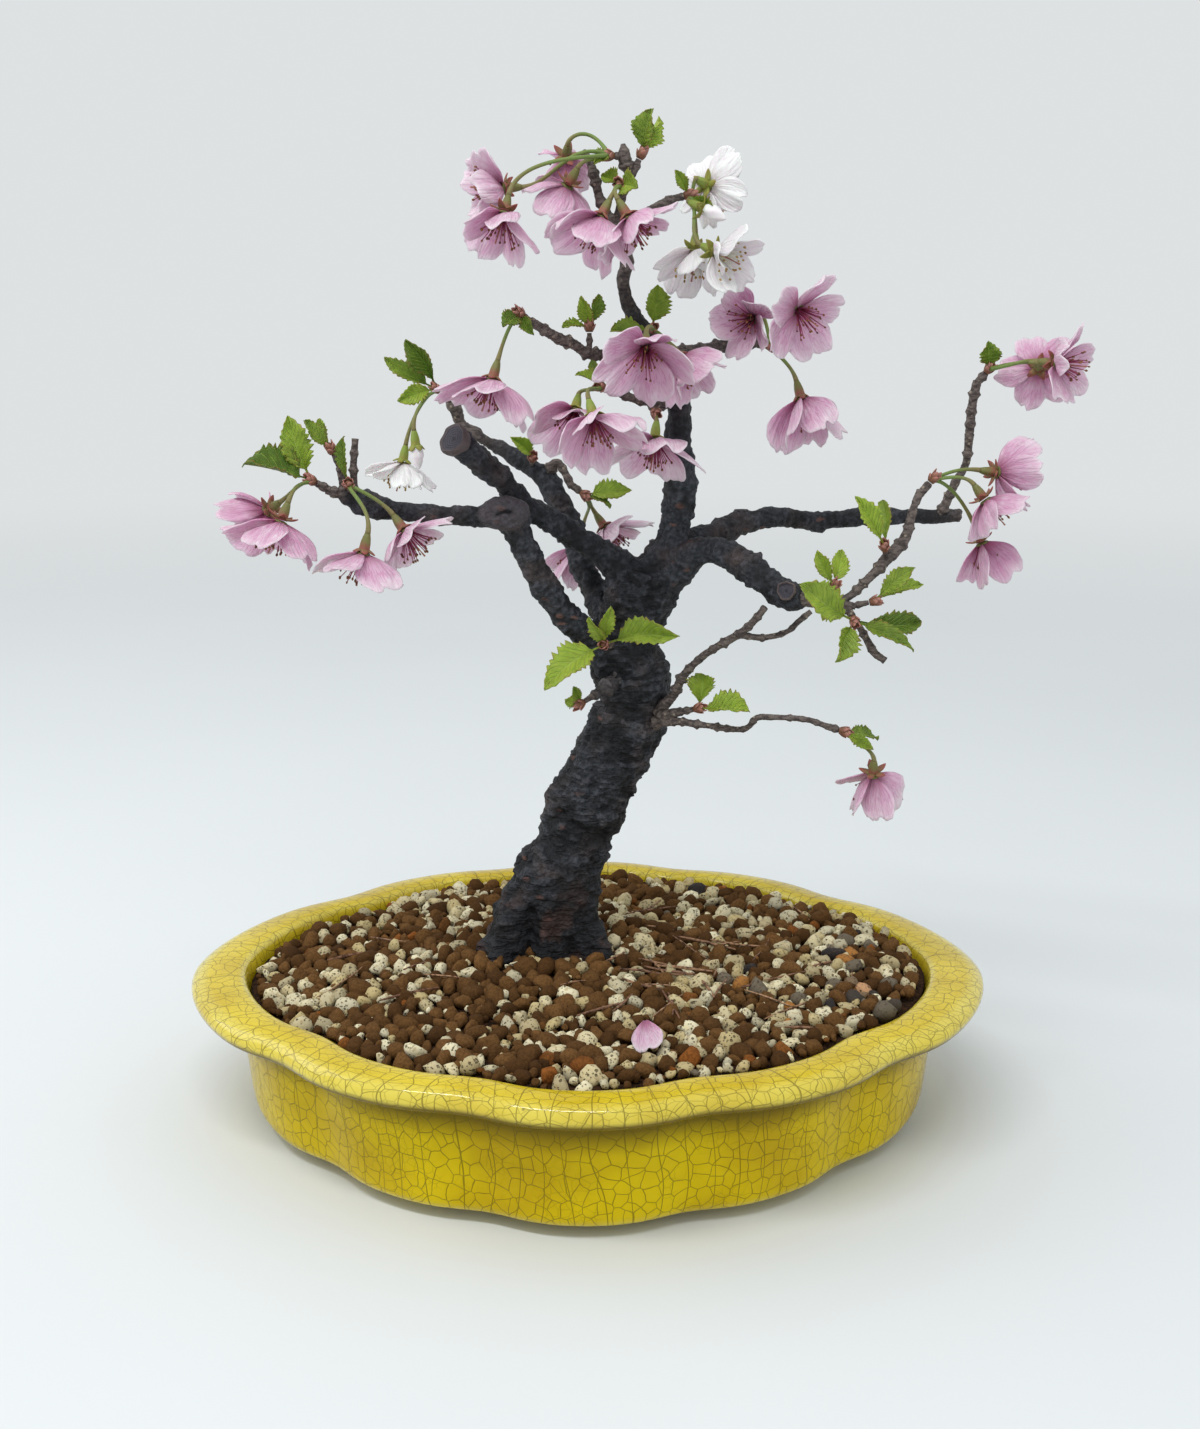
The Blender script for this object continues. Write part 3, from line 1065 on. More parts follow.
def root_flare():
    """Level rings: radius from a table of heights, plus a bell for each root that fades with
    height, leaning over to the right as the trunk does."""
    z = np.linspace(FLARE_LEVELS[0], FLARE_LEVELS[-1], 50)[:, None]
    angle = np.arange(0, 360, 4)[None]
    spread = np.where(z < 60, 1, np.clip(1 - (z - 60) / 30, 0, 1) ** 1.4)
    radius = np.interp(z, FLARE_LEVELS, FLARE_RADII) + spread * root_ridges(angle)
    lean = np.clip((z - 75) / 20, 0, None) * 4
    x = TRUNK_FOOT[0] + lean + radius * np.cos(np.radians(angle))
    y = TRUNK_FOOT[1] + radius * np.sin(np.radians(angle))
    return close_rings(np.stack([x, y, np.broadcast_to(z, x.shape)], -1))


def melted_wood():
    """The thick limbs as closed tubes, rebuilt on a voxel grid and smoothed into one surface. Gives
    its points, their normals and its four-sided faces."""
    rough = Piece("wood_core", GLAZE)
    rough.add(*root_flare())
    for path in THICK:
        rough.add(*tube(path[:, :3], path[:, 3], 24))
    points, faces = ball(3)
    rough.add(points * SCAR_SIZE + SCAR_CENTRE, [faces])
    made = rough.make("bark")
    remesh = made.modifiers.new("melt", "REMESH")
    remesh.mode, remesh.voxel_size = "VOXEL", WOOD_VOXEL * MM
    soften = made.modifiers.new("soften", "SMOOTH")
    soften.factor, soften.iterations = 0.5, SOFTENING_ROUNDS
    solid = bpy.data.meshes.new_from_object(made.evaluated_get(bpy.context.evaluated_depsgraph_get()))
    points, normals = np.zeros((2, len(solid.vertices) * 3))
    quads = np.zeros(len(solid.loops), int)
    solid.vertices.foreach_get("co", points)
    solid.vertices.foreach_get("normal", normals)
    solid.loops.foreach_get("vertex_index", quads)
    bpy.data.objects.remove(made)
    return (points.reshape(-1, 3) - POT_CENTRE) / MM, normals.reshape(-1, 3), quads.reshape(-1, 4)


core, core_normals, core_faces = melted_wood()
print("melted wood has", len(core), "points")

# %% [markdown]
# ## Bark
# Every point of the melted wood finds the nearest point of the nearest limb. That gives the
# distance along the limb, for the ridges that run round it, and the limb's thickness, for the
# size of the lumps. The point then moves out along its normal.

# %% Rough bark
def along_limbs(points):
    """For each point: distance along its nearest limb and that limb's radius there. The points go
    through in parts, to keep the table of all distances small."""
    path = np.vstack(THICK)
    steps = np.concatenate([path_length(limb[:, :3]) for limb in THICK])
    nearest = np.empty(len(points), int)
    for part in np.array_split(np.arange(len(points)), len(points) // 4000 + 1):
        away = np.linalg.norm(points[part][:, None] - path[None, :, :3], axis=-1) - path[None, :, 3]
        nearest[part] = away.argmin(axis=1)
    return steps[nearest], path[nearest, 3]


def bark_height(points, along, radius):
    """Lumps in three sizes, larger on thick wood, plus ridges: a sharpened sine of the distance
    along the limb, pushed about by noise."""
    weight = np.clip(radius / 13, 0.42, 1)
    lumps = 1.2 * lattice_noise(points, 8.5, 1) + 1.05 * lattice_noise(points, 4.0, 2)
    fine = 0.7 * lattice_noise(points, 2.0, 3)
    pitch = 2.7 + 0.12 * radius
    wave = np.sin(2 * np.pi * (along + 1.8 * lattice_noise(points, 6, 6)) / pitch)
    ridge = (0.5 + 0.5 * wave) ** 1.5 * np.clip(0.6 + 0.9 * lattice_noise(points, 6, 8), 0, 1.3)
    crust = np.clip(lattice_noise(points, 3.1, 12) - 0.35, 0, None) * 1.6
    fine, ridge = fine * np.clip(radius / 6, 0.6, 1), 0.85 * ridge * np.clip(radius / 9, 0.35, 1)
    return weight * lumps + fine + ridge + crust - 0.35


along, thickness = along_limbs(core)
height = np.where(core[:, 2] < 50, 0, bark_height(core, along, thickness))      # plain in the soil
scar_place = (core - SCAR_CENTRE) / SCAR_SIZE
scar_reach = np.hypot(scar_place[:, 0], scar_place[:, 2])
on_scar = np.clip(1.2 - scar_reach, 0, 1) * (scar_place[:, 1] < 0.4)
rolled = 0.55 * bell(scar_reach - 0.75 - 0.12 * lattice_noise(core, 4, 5), 0.2)
rolled = rolled + 0.18 * np.cos(scar_reach * 14)
ragged = scar_place[:, 2] - 0.16 * np.sin(scar_place[:, 0] * 4 + 1)
slit = -1.5 * np.exp(-((ragged / 0.1) ** 2) - (scar_place[:, 0] / 0.36) ** 4)
height = np.where(on_scar > 0.1, 0.5 * height + rolled + slit, height)
core = core + core_normals * height[:, None]
core_lay = np.stack([thickness / 10, 0.5 + 0.25 * height, on_scar], -1)
print("bark stands from", height.min().round(2), "to", height.max().round(2), "mm")

# %% Bark finish
FOOT_DRY = float(in_frame([0, 0, 98])[2])      # the damp from the soil reaches this height
DAMP_FADE = 0.028                              # and fades over these metres below it


def bark_finish():
    """Near-black with brown plates and rust lenticels on old wood, darker and damp at the foot,
    grey-brown on thin twigs. Its lay holds the thickness, the height of the bark and the scar."""
    bark = Finish("cherry_bark", {"Specular IOR Level": 0.35})
    place = bark.place()
    thick, height, scarred = bark.lay()
    fine = bark.noise(place, 0.0016, 6.0)
    broad = bark.noise(place, 0.014, 4.0)
    bands = bark.noise(bark.stretch(place, (1.0, 1.0, 4.5)), 0.009, 5.0)
    lens = bark.cells(bark.warp(bark.stretch(place, (1.0, 1.0, 1.9)), 0.006, 0.005), 0.0105)
    rust = (1 - lens.step(0.1, 0.24)) * bark.noise(place, 0.026, 1.0).step(0.52, 0.6)
    damp = 1 - bark.node("ShaderNodeSeparateXYZ", {}, {0: place}, "Z").step(FOOT_DRY - DAMP_FADE, FOOT_DRY)
    old = bark.over(
        bark.mix(fine.step(0.35, 0.7), tone(32, 36, 42), tone(72, 74, 81)),
        (broad.step(0.48, 0.72) * 0.45, tone(92, 74, 68)),
        ((1 - height.step(0.25, 0.62)) * 0.8, tone(12, 12, 15)),
        (height.step(0.75, 1.1) * 0.55 * fine.step(0.4, 0.6), tone(116, 106, 106)),
        (bands.step(0.52, 0.6) * thick.step(0.8, 1.2) * 0.55, tone(14, 14, 17)),
        (rust * 0.6, tone(120, 84, 74)),
        (0.75 * damp, bark.mix(broad.step(0.5, 0.6), tone(15, 16, 20), tone(60, 42, 38))))
    streak = bark.noise(bark.stretch(place, (0.35, 1, 1)), 0.0011, 3.0)
    young = bark.mix(streak.step(0.35, 0.65), tone(68, 60, 58), tone(112, 101, 95))
    young = bark.over(
        bark.mix(bark.cells(place, 0.003).step(0.1, 0.22), tone(150, 136, 120), young),
        (0.45 * (1 - height.step(0.3, 0.5)), tone(46, 40, 38)),
        (0.6 * height.step(0.55, 0.9), tone(140, 128, 120)))
    healed = scarred.step(0.0, 0.3) * height.step(0.2, 0.55) * 0.45
    colour = bark.over(young, (thick.step(0.22, 0.36), old), (healed, tone(84, 74, 78)))
    bumps = fine + 0.6 * bark.cells(place, 0.0014) - 1.2 * thick.step(0.8, 1.2) * bands.step(0.48, 0.6)
    return bark.dress(colour, 0.5 + 0.4 * fine, bumps, 0.0009)


BARK = bark_finish()
print("finish", BARK.name)

# %% Twigs, spurs and the finished wood
TWIG_THINNING = 0.84     # the frame's twigs have four or five sides and stand a little proud
TWIG_SIDES, NODE_PITCH, NODE_WIDTH = 12, 6, 0.75


def twig_surface(row, seed, step=0.7):
    """A tube whose radius swells at nodes about 6 mm apart and carries fine rings and lumps."""
    path = smooth_path(row, step)
    along = path_length(path[:, :3])
    draw = np.random.default_rng(seed)
    nodes = np.arange(NODE_PITCH / 2, along[-1] + NODE_PITCH, NODE_PITCH)
    nodes = nodes + draw.uniform(-1.6, 1.6, len(nodes))
    swell = (draw.uniform(0.15, 0.6, len(nodes)) * bell(along[:, None] - nodes, NODE_WIDTH)).sum(-1)
    ring = 0.04 * np.sin(along * 2 * np.pi / 1.5 + 2 * np.sin(along / 4))
    points, faces = tube(path[:, :3], TWIG_THINNING * path[:, 3] * (1 + swell + ring), TWIG_SIDES)
    middle = np.repeat(path[:, :3], TWIG_SIDES, axis=0)
    rind = points[:len(middle)]
    lump = 0.09 * lattice_noise(rind, 1.7, seed) + 0.12 * lattice_noise(rind, 4.5, 3)
    points[:len(middle)] = middle + (rind - middle) * (1 + lump[:, None])
    lay = lay_of(points, path[:, 3].mean() / 10, 0.5)
    lay[:len(middle), 1] += 0.7 * lump + 0.25 * np.repeat(swell, TWIG_SIDES)
    return points, faces, lay


CUTS = [
    {"at": [-46.4, -15.5, 257.8], "look": [-0.55, -0.66, 0.5], "radius": 5.6, "rim": 0.5},
    {"at": [70.5, -22.6, 205.5], "look": [-0.25, -0.95, 0.2], "radius": 3.3, "rim": 1.0},
]


def cut_finish():
    """Weathered end grain: grey rings, a dark middle and a brown rolled rim. Its lay holds the
    share of the radius, nothing and the height of the rim."""
    cut = Finish("cut_wood", {"Specular IOR Level": 0.35})
    place = cut.place()
    share, _, rim = cut.lay()
    fine = cut.noise(place, 0.0012, 4.0)
    rings = (share * 7 + 1.6 * cut.noise(place, 0.005)).math("FRACT").step(0.2, 0.8)
    colour = cut.over(
        cut.mix(rings * 0.6 + 0.3 * fine, tone(56, 54, 62), tone(86, 83, 92)),
        (share.step(0.72, 0.95) * (0.4 + 0.5 * rim), tone(104, 90, 86)),
        ((1 - share.step(0.04, 0.22)) * 0.7, tone(30, 26, 28)))
    return cut.dress(colour, 0.6 + 0.3 * fine, fine - 0.4 * rings, 0.0006)


def cut_end(at, look, radius, rim):
    """A shallow drum whose face is hollow in the middle and rolls over at the rim."""
    look, sides = unit(look), 40
    share = np.array([0.9, 1.0, 1.03, 1.0, 0.93, 0.84, 0.68, 0.5, 0.3, 0.12])
    ahead = np.array([-4, -2, 0, 0.55 + 0.3 * rim, 0.95 + 0.5 * rim, 0.75, 0.45, 0.4, 0.3, 0.1])
    first = unit(np.cross(look, [0, 0, 1]))
    angle = round_angles(sides)
    uneven = 1 + 0.05 * np.sin(3 * angle + radius) + 0.03 * np.sin(7 * angle)
    reach = share[:, None] * uneven * radius
    ring = circle(first, np.cross(look, first), sides) * reach[..., None]
    points, faces = close_rings(np.array(at) + ahead[:, None, None] * look + ring)
    points[:-2] += look * 0.35 * lattice_noise(points[:-2], 1.6, 4)[:, None]
    return points, faces, lay_of(points, np.repeat(np.where(ahead < 0, 1, share), sides), 0, rim)


CUT_WOOD = cut_finish()
wood = Piece("wood", BARK, CUT_WOOD)
wood.add(core, [core_faces], core_lay)
for cut in CUTS:
    wood.add(*cut_end(**cut), 1)
for seed, name in enumerate(name for name in LIMBS if name not in THICK_NAMES):
    wood.add(*twig_surface(LIMBS[name], 40 + seed))
for seed, shoot in enumerate(SHOOTS):
    start, end, radius = shoot["spur"]
    middle = (np.array(start) + end) / 2
    row = [[*start, radius], [*middle, radius * 1.05], [*end, radius * 0.85]]
    wood.add(*twig_surface(row, 90 + seed, 0.5))
wood.make("bark", "tree_wood")

# %% [markdown]
# ## Young growth
# In spring each bud opens its brown scales and lets out stalks and folded leaves. One piece for
# a shoot holds all of it: scales round the bud, stalks on curved paths, a calyx with five
# pointed sepals at the end of each stalk, and toothed leaves pleated along their side veins.

# %% Leaf finishes
def leaf_finish(bright, deep, red):
    """Green that is paler on the veins, with red at the teeth. Lay: along, across, chance."""
    leaf = Finish("young_leaf", {"IOR": 1.42, "Subsurface Weight": 0.25, "Subsurface Scale": 0.0012,
                                 "Subsurface Radius": (0.5, 1.0, 0.2)})
    place = leaf.place()
    along, across, pick = leaf.lay()
    side = across.math("ABSOLUTE")
    vein = ((along * 11 - side * 3.2).math("FRACT") - 0.5).math("ABSOLUTE").step(0.0, 0.16)
    rib = side.step(0.0, 0.09)
    veins = 1 - vein.math("MINIMUM", rib)
    mottle = leaf.noise(place, 0.003, 4.0)
    blush = side.step(0.82, 1.0) * red * leaf.noise(place, 0.004).step(0.4, 0.6)
    colour = leaf.mix((mottle * 0.6 + pick * 0.75).step(0.25, 1.1), deep, bright)
    colour = leaf.over(colour, (0.4 * veins, tone(176, 196, 104)), (blush, tone(140, 74, 40)))
    height = leaf.noise(place, 0.0007, 2.0) * 0.4 - veins
    return leaf.dress(colour, 0.42 + 0.2 * mottle, height, 0.00025)


def stalk_finish(name, low, high):
    """From one colour at the foot to another at the calyx, with fine down."""
    stalk = Finish(name, {"IOR": 1.42, "Subsurface Weight": 0.15, "Subsurface Scale": 0.0008})
    along, _, _ = stalk.lay()
    fine = stalk.noise(stalk.stretch(stalk.place(), (1, 1, 0.4)), 0.0011, 4.0)
    colour = stalk.mix((along + 0.35 * fine - 0.15).step(0.35, 1.0), low, high)
    colour = stalk.mix(fine.step(0.5, 0.8) * 0.35, colour, tone(120, 84, 54))
    return stalk.dress(colour, 0.5 + 0.2 * fine, fine, 0.0002)


LEAF = leaf_finish(tone(164, 184, 66), tone(80, 102, 24), 0.45)
STALK = stalk_finish("flower_stalk", tone(112, 134, 68), tone(126, 118, 74))
CALYX = stalk_finish("calyx", tone(114, 114, 64), tone(148, 80, 74))
GREEN_CALYX = stalk_finish("green_calyx", tone(132, 150, 66), tone(142, 138, 62))
SCALE = stalk_finish("bud_scale", tone(122, 82, 62), tone(176, 124, 112))
print("finishes of the growth", *(one.name for one in (LEAF, STALK, CALYX, GREEN_CALYX, SCALE)))

# %% Leaf surface
LEAF_STALK = 0.2
LEAF_ROWS, LEAF_COLUMNS = 45, 11


def leaf_grid(start, tip, width, look, draw):
    """Along u and across v: half-width w(u) = w sin(pi s^0.75) past the stalk, times a saw wave at
    the rim; raised by |v| w(u) * fold, pleated by a sine along the side veins, bent by -u^2."""
    along = np.asarray(tip, float) - start
    length = np.linalg.norm(along)
    along = along / length
    over = unit(look)
    over = unit(over - along * (over @ along))
    across = np.cross(along, over)
    u, v = two_ways(LEAF_ROWS, LEAF_COLUMNS)
    s = np.clip((u - LEAF_STALK) / (1 - LEAF_STALK), 0, 1)
    bulk = draw.uniform(0.72, 1.3)
    half = 0.32 + width / 2 * 1.08 * np.sin(np.pi * s**bulk) ** 0.8 - 0.2 * s
    teeth = np.where(s > 0.06, (s * (7 + width * 0.3)) % 1 - 0.5, 0)
    jag_place = np.stack(np.broadcast_arrays(s * 5, np.sign(v), float(width)), -1)
    jag = 0.25 + 0.3 * lattice_noise(jag_place, 1, 3)
    x = v * half * (1 + np.abs(v) ** 4 * teeth * (0.12 + 0.8 * jag))
    fold = 0.5 + draw.uniform(-0.1, 0.7)
    size = min(width / 8, 1)
    pleat = 0.45 * size * np.sin(2 * np.pi * (s * 6 - np.abs(v) * 1.3)) * np.abs(v) ** 0.7 * (s > 0)
    wave = s * 1.9 + draw.uniform() + 0.25 * np.sign(v)
    ruffle = 1.1 * size * np.sin(2 * np.pi * wave) * np.abs(v) ** 2.5 * s
    lift = np.abs(x) * fold - 0.1 * length * u**2 + pleat + ruffle
    sway = draw.uniform(-0.09, 0.09) * length * np.sin(np.pi * u)
    twist = draw.uniform(-0.7, 0.7) * s**1.5
    x, lift = x * np.cos(twist) - lift * np.sin(twist), x * np.sin(twist) + lift * np.cos(twist)
    grid = start + along * (u * length)[..., None] + across * (x + sway)[..., None] + over * lift[..., None]
    return grid, u, v


def add_sheet(piece, grid, u, v, pick, thickness, finish):
    """A sheet whose lay is its own u, v and one number by chance, the same on both faces."""
    points, faces = sheet(grid, thickness)
    lay = np.stack(np.broadcast_arrays(u, v, pick), -1).reshape(-1, 3)
    piece.add(points, faces, np.concatenate([lay, lay]), finish)


# %% Bud, stalk, calyx and sepals
GAP, CALYX_LENGTH, SEPAL_LENGTH = 0.3, 6, 4.0
SEPAL_LEAN_BACK = 107          # degrees from straight ahead, where the sepals bend back
RIBBED_SIDES = 20              # four points for each of five ribs or folds
STALK_SHARE, STALK_SIDES = np.linspace(0, 1, 26), 10


def bud_of(shoot):
    """Foot and middle of the bud, and the way it points, from the spur below it."""
    start, end, _ = shoot["spur"]
    along = unit(np.subtract(end, start))
    foot = end + along * GAP
    return foot, foot + along * 1.6, along


def aside(axis):
    """Two directions across an axis."""
    way = WAYS[np.abs(WAYS @ axis).argmin()]
    first = unit(way - axis * (way @ axis))
    return first, np.cross(axis, first)


def around(axis, angle):
    """The way out from an axis at that angle round it, and the way on round it from there."""
    first, second = aside(axis)
    outward = first * np.cos(angle) + second * np.sin(angle)
    return outward, np.cross(axis, outward)


def stalk_path(centre, along, bloom):
    """A Bezier curve from the bud to the neck of the calyx, leaving toward the bloom and arriving
    along the way the bloom looks."""
    at, axis = np.array(bloom["at"], float), unit(bloom["look"])
    mouth = at - axis * GAP
    neck = mouth - axis * CALYX_LENGTH
    span = np.linalg.norm(neck - centre)
    way = unit(np.array(bloom.get("via", at)) - centre)
    start = centre + way * 0.7
    out = np.array(bloom.get("via", start + along * span * 0.15 + way * span * 0.2), float)
    into = neck - axis * span * 0.35
    t = STALK_SHARE[:, None]
    curve = (1 - t) ** 3 * start + 3 * (1 - t) ** 2 * t * out + 3 * (1 - t) * t**2 * into + t**3 * neck
    return curve, neck, mouth, axis


def add_calyx(piece, neck, mouth, axis, turn, lean, finish):
    """A five-ribbed funnel from neck to mouth, and pointed sepals that lean out from its rim by
    that many degrees from straight ahead."""
    forward, out = math.cos(math.radians(lean)), math.sin(math.radians(lean))
    length = SEPAL_LENGTH * (0.7 + 0.3 * (lean > 90))
    share = np.linspace(0, 1, 12)
    radius = np.interp(share, [0, 0.2, 0.5, 0.8, 1], [0.95, 1.3, 1.65, 1.75, 2.0])
    ribs = 1 + 0.06 * np.cos(5 * round_angles(RIBBED_SIDES))
    points, faces = tube(neck + (mouth - neck) * share[:, None], radius[:, None] * ribs, RIBBED_SIDES)
    piece.add(points, faces, lay_of(points, np.repeat(share, RIBBED_SIDES)), finish)
    u, v = two_ways(9, 5)
    for number in range(5):
        outward, side = around(axis, np.radians(72 * number + turn))
        reach = 1.45 + length * out * u * (1.1 - 0.1 * u)
        back = -0.75 + length * forward * u**1.3
        half = 1.45 * (1 - u**2.0) ** 0.75 * (0.75 + 0.6 * u * (1 - u)) + 0.08
        cup = 0.35 * v**2 * half
        grid = mouth + outward * reach[..., None] + axis * (back + cup)[..., None]
        grid = grid + side * (v * half)[..., None]
        add_sheet(piece, grid, 0.5 + 0.5 * u, v, number / 5, 0.35, finish)


def add_scales(piece, foot, along, draw):
    """Three whorls of small cupped scales that open outward from the bud."""
    u, v = two_ways(7, 5)
    core = tube(foot + along * np.array([[0], [1.2], [2.4], [3.4]]), [1.25, 1.6, 1.4, 0.7], 12)
    piece.add(*core, (0.2, 0, 0.5), 3)
    for number in range(9):
        outward, side = around(along, number * 2.4 + draw.uniform(-0.3, 0.3))
        whorl = number // 3
        length = 2.6 + 0.5 * whorl + draw.uniform(-0.3, 0.5)
        spread = 1.15 + (0.75 - 0.2 * whorl) * np.sin(u * 2.2) + 0.5 * u**3 * (2 - whorl) * 0.5
        half = 1.15 * np.sin(np.pi * (0.25 + 0.72 * u)) ** 0.8 + 0.05
        rise = 0.2 + 0.5 * whorl + u * length
        grid = foot + outward * (spread - 0.45 * v**2 * half)[..., None] + side * (v * half)[..., None]
        add_sheet(piece, grid + along * rise[..., None], u, v, draw.uniform(), 0.25, 3)


def add_closed_bud(piece, mouth, axis):
    """A pointed egg of wrapped petals: radius from a table of distances, twisted into five folds."""
    share = np.linspace(0, 1, 16)[:, None]
    radius = np.interp(share, [0, 0.2, 0.45, 0.75, 0.95, 1], [1.3, 2.2, 2.5, 1.8, 0.7, 0.3])
    folds = 1 + 0.1 * np.cos(5 * (round_angles(RIBBED_SIDES) + 1.6 * share))
    piece.add(*tube(mouth + axis * (-0.8 + 9.3 * share), radius * folds, RIBBED_SIDES), (0.8, 0, 0.5), 4)


# %% [markdown]
# ## Blossom
# A cherry petal is broad, notched at the tip and so thin that light comes through. It is a grid
# whose width follows a sine and whose length follows a rounded edge with a dip for the notch. The
# five petals turn like the blades of a fan, each edge passing its neighbour's. In the middle
# stand two dozen stamens round one pistil.

# %% Petal finishes
def petal_finish(name, edge, body, base, vein):
    """Pale at the rim and deeper toward the claw, with veins that fan out. Lay: along, across,
    chance."""
    petal = Finish(name, {"IOR": 1.38, "Subsurface Weight": 0.3, "Subsurface Scale": 0.0018,
                          "Subsurface Radius": (1.0, 0.55, 0.8), "Sheen Weight": 0.15})
    place = petal.place()
    along, across, pick = petal.lay()
    cloud = petal.noise(place, 0.006, 3.0)
    lines = petal.node("ShaderNodeCombineXYZ", {}, {0: along * 0.7, 1: across * 2.3, 2: pick * 9})
    veins = petal.node("ShaderNodeTexNoise", {}, {"Vector": lines, "Scale": 3.4, "Detail": 4.0}, "Fac")
    colour = petal.mix((along + 0.4 * cloud - 0.2).step(0.5, 1.05), body, edge)
    line = 1 - (veins - 0.5).math("ABSOLUTE").step(0.01, 0.06)
    colour = petal.over(
        colour, (pick * 0.85, petal.mix(0.6, colour, vein)), (0.4 * cloud.step(0.52, 0.7), edge),
        ((1 - along.step(0.0, 0.46)) * (0.65 + 0.35 * pick), base),
        (line * (1 - along.step(0.45, 1.25)) * 0.5, vein), (along.step(0.88, 1.0) * 0.4, edge))
    return petal.dress(colour, 0.5 + 0.15 * cloud, veins - 0.5 * cloud, 0.0009)


PINK_TONES = tone(234, 217, 226), tone(219, 184, 204), tone(152, 52, 98), tone(180, 98, 144)
WHITE_TONES = tone(249, 248, 247), tone(243, 241, 241), tone(218, 202, 202), tone(220, 206, 216)
PINK_PETAL, WHITE_PETAL = petal_finish("pink_petal", *PINK_TONES), petal_finish("white_petal", *WHITE_TONES)


def thread_finish(name, low, high):
    """From one colour at the foot to another at the end, with a fine grain."""
    thread = Finish(name, {"IOR": 1.4, "Subsurface Weight": 0.1, "Subsurface Scale": 0.0005})
    along, _, _ = thread.lay()
    grain = thread.noise(thread.place(), 0.0008, 2.0)
    colour = thread.mix(along + 0.3 * grain - 0.15, low, high)
    return thread.dress(colour, 0.5 + 0.2 * grain, grain, 0.0001)


FILAMENT = thread_finish("filament", tone(124, 34, 66), tone(158, 74, 104))
WHITE_FILAMENT = thread_finish("pale_filament", tone(226, 224, 190), tone(238, 236, 226))
ANTHER = thread_finish("anther", tone(92, 48, 42), tone(140, 92, 52))
PALE_ANTHER = thread_finish("pale_anther", tone(140, 106, 58), tone(186, 158, 92))
PISTIL = thread_finish("pistil", tone(150, 84, 84), tone(172, 122, 92))
print("petal finishes", PINK_PETAL.name, WHITE_PETAL.name)

# %% Petal surface
PETAL_LENGTH, PETAL_WIDTH, PETALS = 17.5, 15, 5
CUP_RADIUS = 2.4
PINWHEEL = 13                # degrees that each petal is turned about its own length
CLOSING = 62                 # a bloom that opens by fewer degrees than this has narrower petals
PETAL_ROWS, PETAL_COLUMNS = 13, 19
NOTCH_SHARE = 0.16           # width of the notch, as a share of half the petal


def petal_grid(length, width, pinwheel, curls, draw):
    """y = length * u * edge(v), where edge is rounded like a squared circle and notched; x = v
    times a half-width that grows as a sine; z bows back, curls up at the sides and turns."""
    u, v = two_ways(PETAL_ROWS, PETAL_COLUMNS)
    fray = 0.05 * lattice_noise(np.stack([v * 6, 0 * v, 0 * v], -1)[0] + draw.uniform(0, 50), 1, 3)
    edge = 0.58 + 0.42 * (1 - np.abs(v) ** 2.5) ** 0.5 + fray
    edge = edge - draw.uniform(0.06, 0.15) * bell(v, NOTCH_SHARE)
    y = length * u * edge
    half = width / 2 * draw.uniform(0.86, 1.02) * (0.15 + 0.9 * np.sin(np.pi / 2 * u) ** 0.95)
    x = v * half
    s = y / length
    curl = np.abs(x) * np.where(v < 0, curls[0], curls[1])
    bow = -0.1 * np.sin(np.pi * s) * length
    tip = draw.uniform(-0.2, 0.07) * length * np.clip(s - 0.5, 0, None) ** 1.5 * 3
    ruffle = 0.9 * np.sin(v * draw.uniform(3, 6.5) + draw.uniform(0, 6)) * u**3
    crease = 0.5 * lattice_noise(np.stack([x, y * 0.3, 0 * y], -1) + draw.uniform(0, 90), 2.4, 7) * u
    crease = crease + 0.2 * np.sin(v * draw.uniform(9, 13) + draw.uniform(0, 6)) * np.sin(np.pi * u**1.3)
    z = bow + curl - x * math.tan(math.radians(pinwheel)) + tip + ruffle + crease
    return np.stack([x, y, z], -1), u, v


def turn_to(axis):
    """The shortest turn from straight up to the axis: I + K + K^2 / (1 + c)."""
    x, y, z = axis
    cross = np.array([[0, 0, x], [0, 0, y], [-x, -y, 0]])
    return np.eye(3) + cross + cross @ cross / (1 + z)


def turned(grid, degrees_of_tilt, degrees_round, lift):
    """Tilts a petal up about its claw, moves the claw out to the cup and turns it to its place."""
    grid = grid @ about("x", degrees_of_tilt).T + [0, CUP_RADIUS - 1, lift]
    return grid @ about("z", degrees_round).T


STAMENS, STAMEN_POINTS, STAMEN_SIDES = 24, 5, 3
GOLDEN_ANGLE = 2.39996        # radians from one stamen to the next, which spreads them evenly
ANTHER_SIZE = [0.4, 0.4, 0.6]


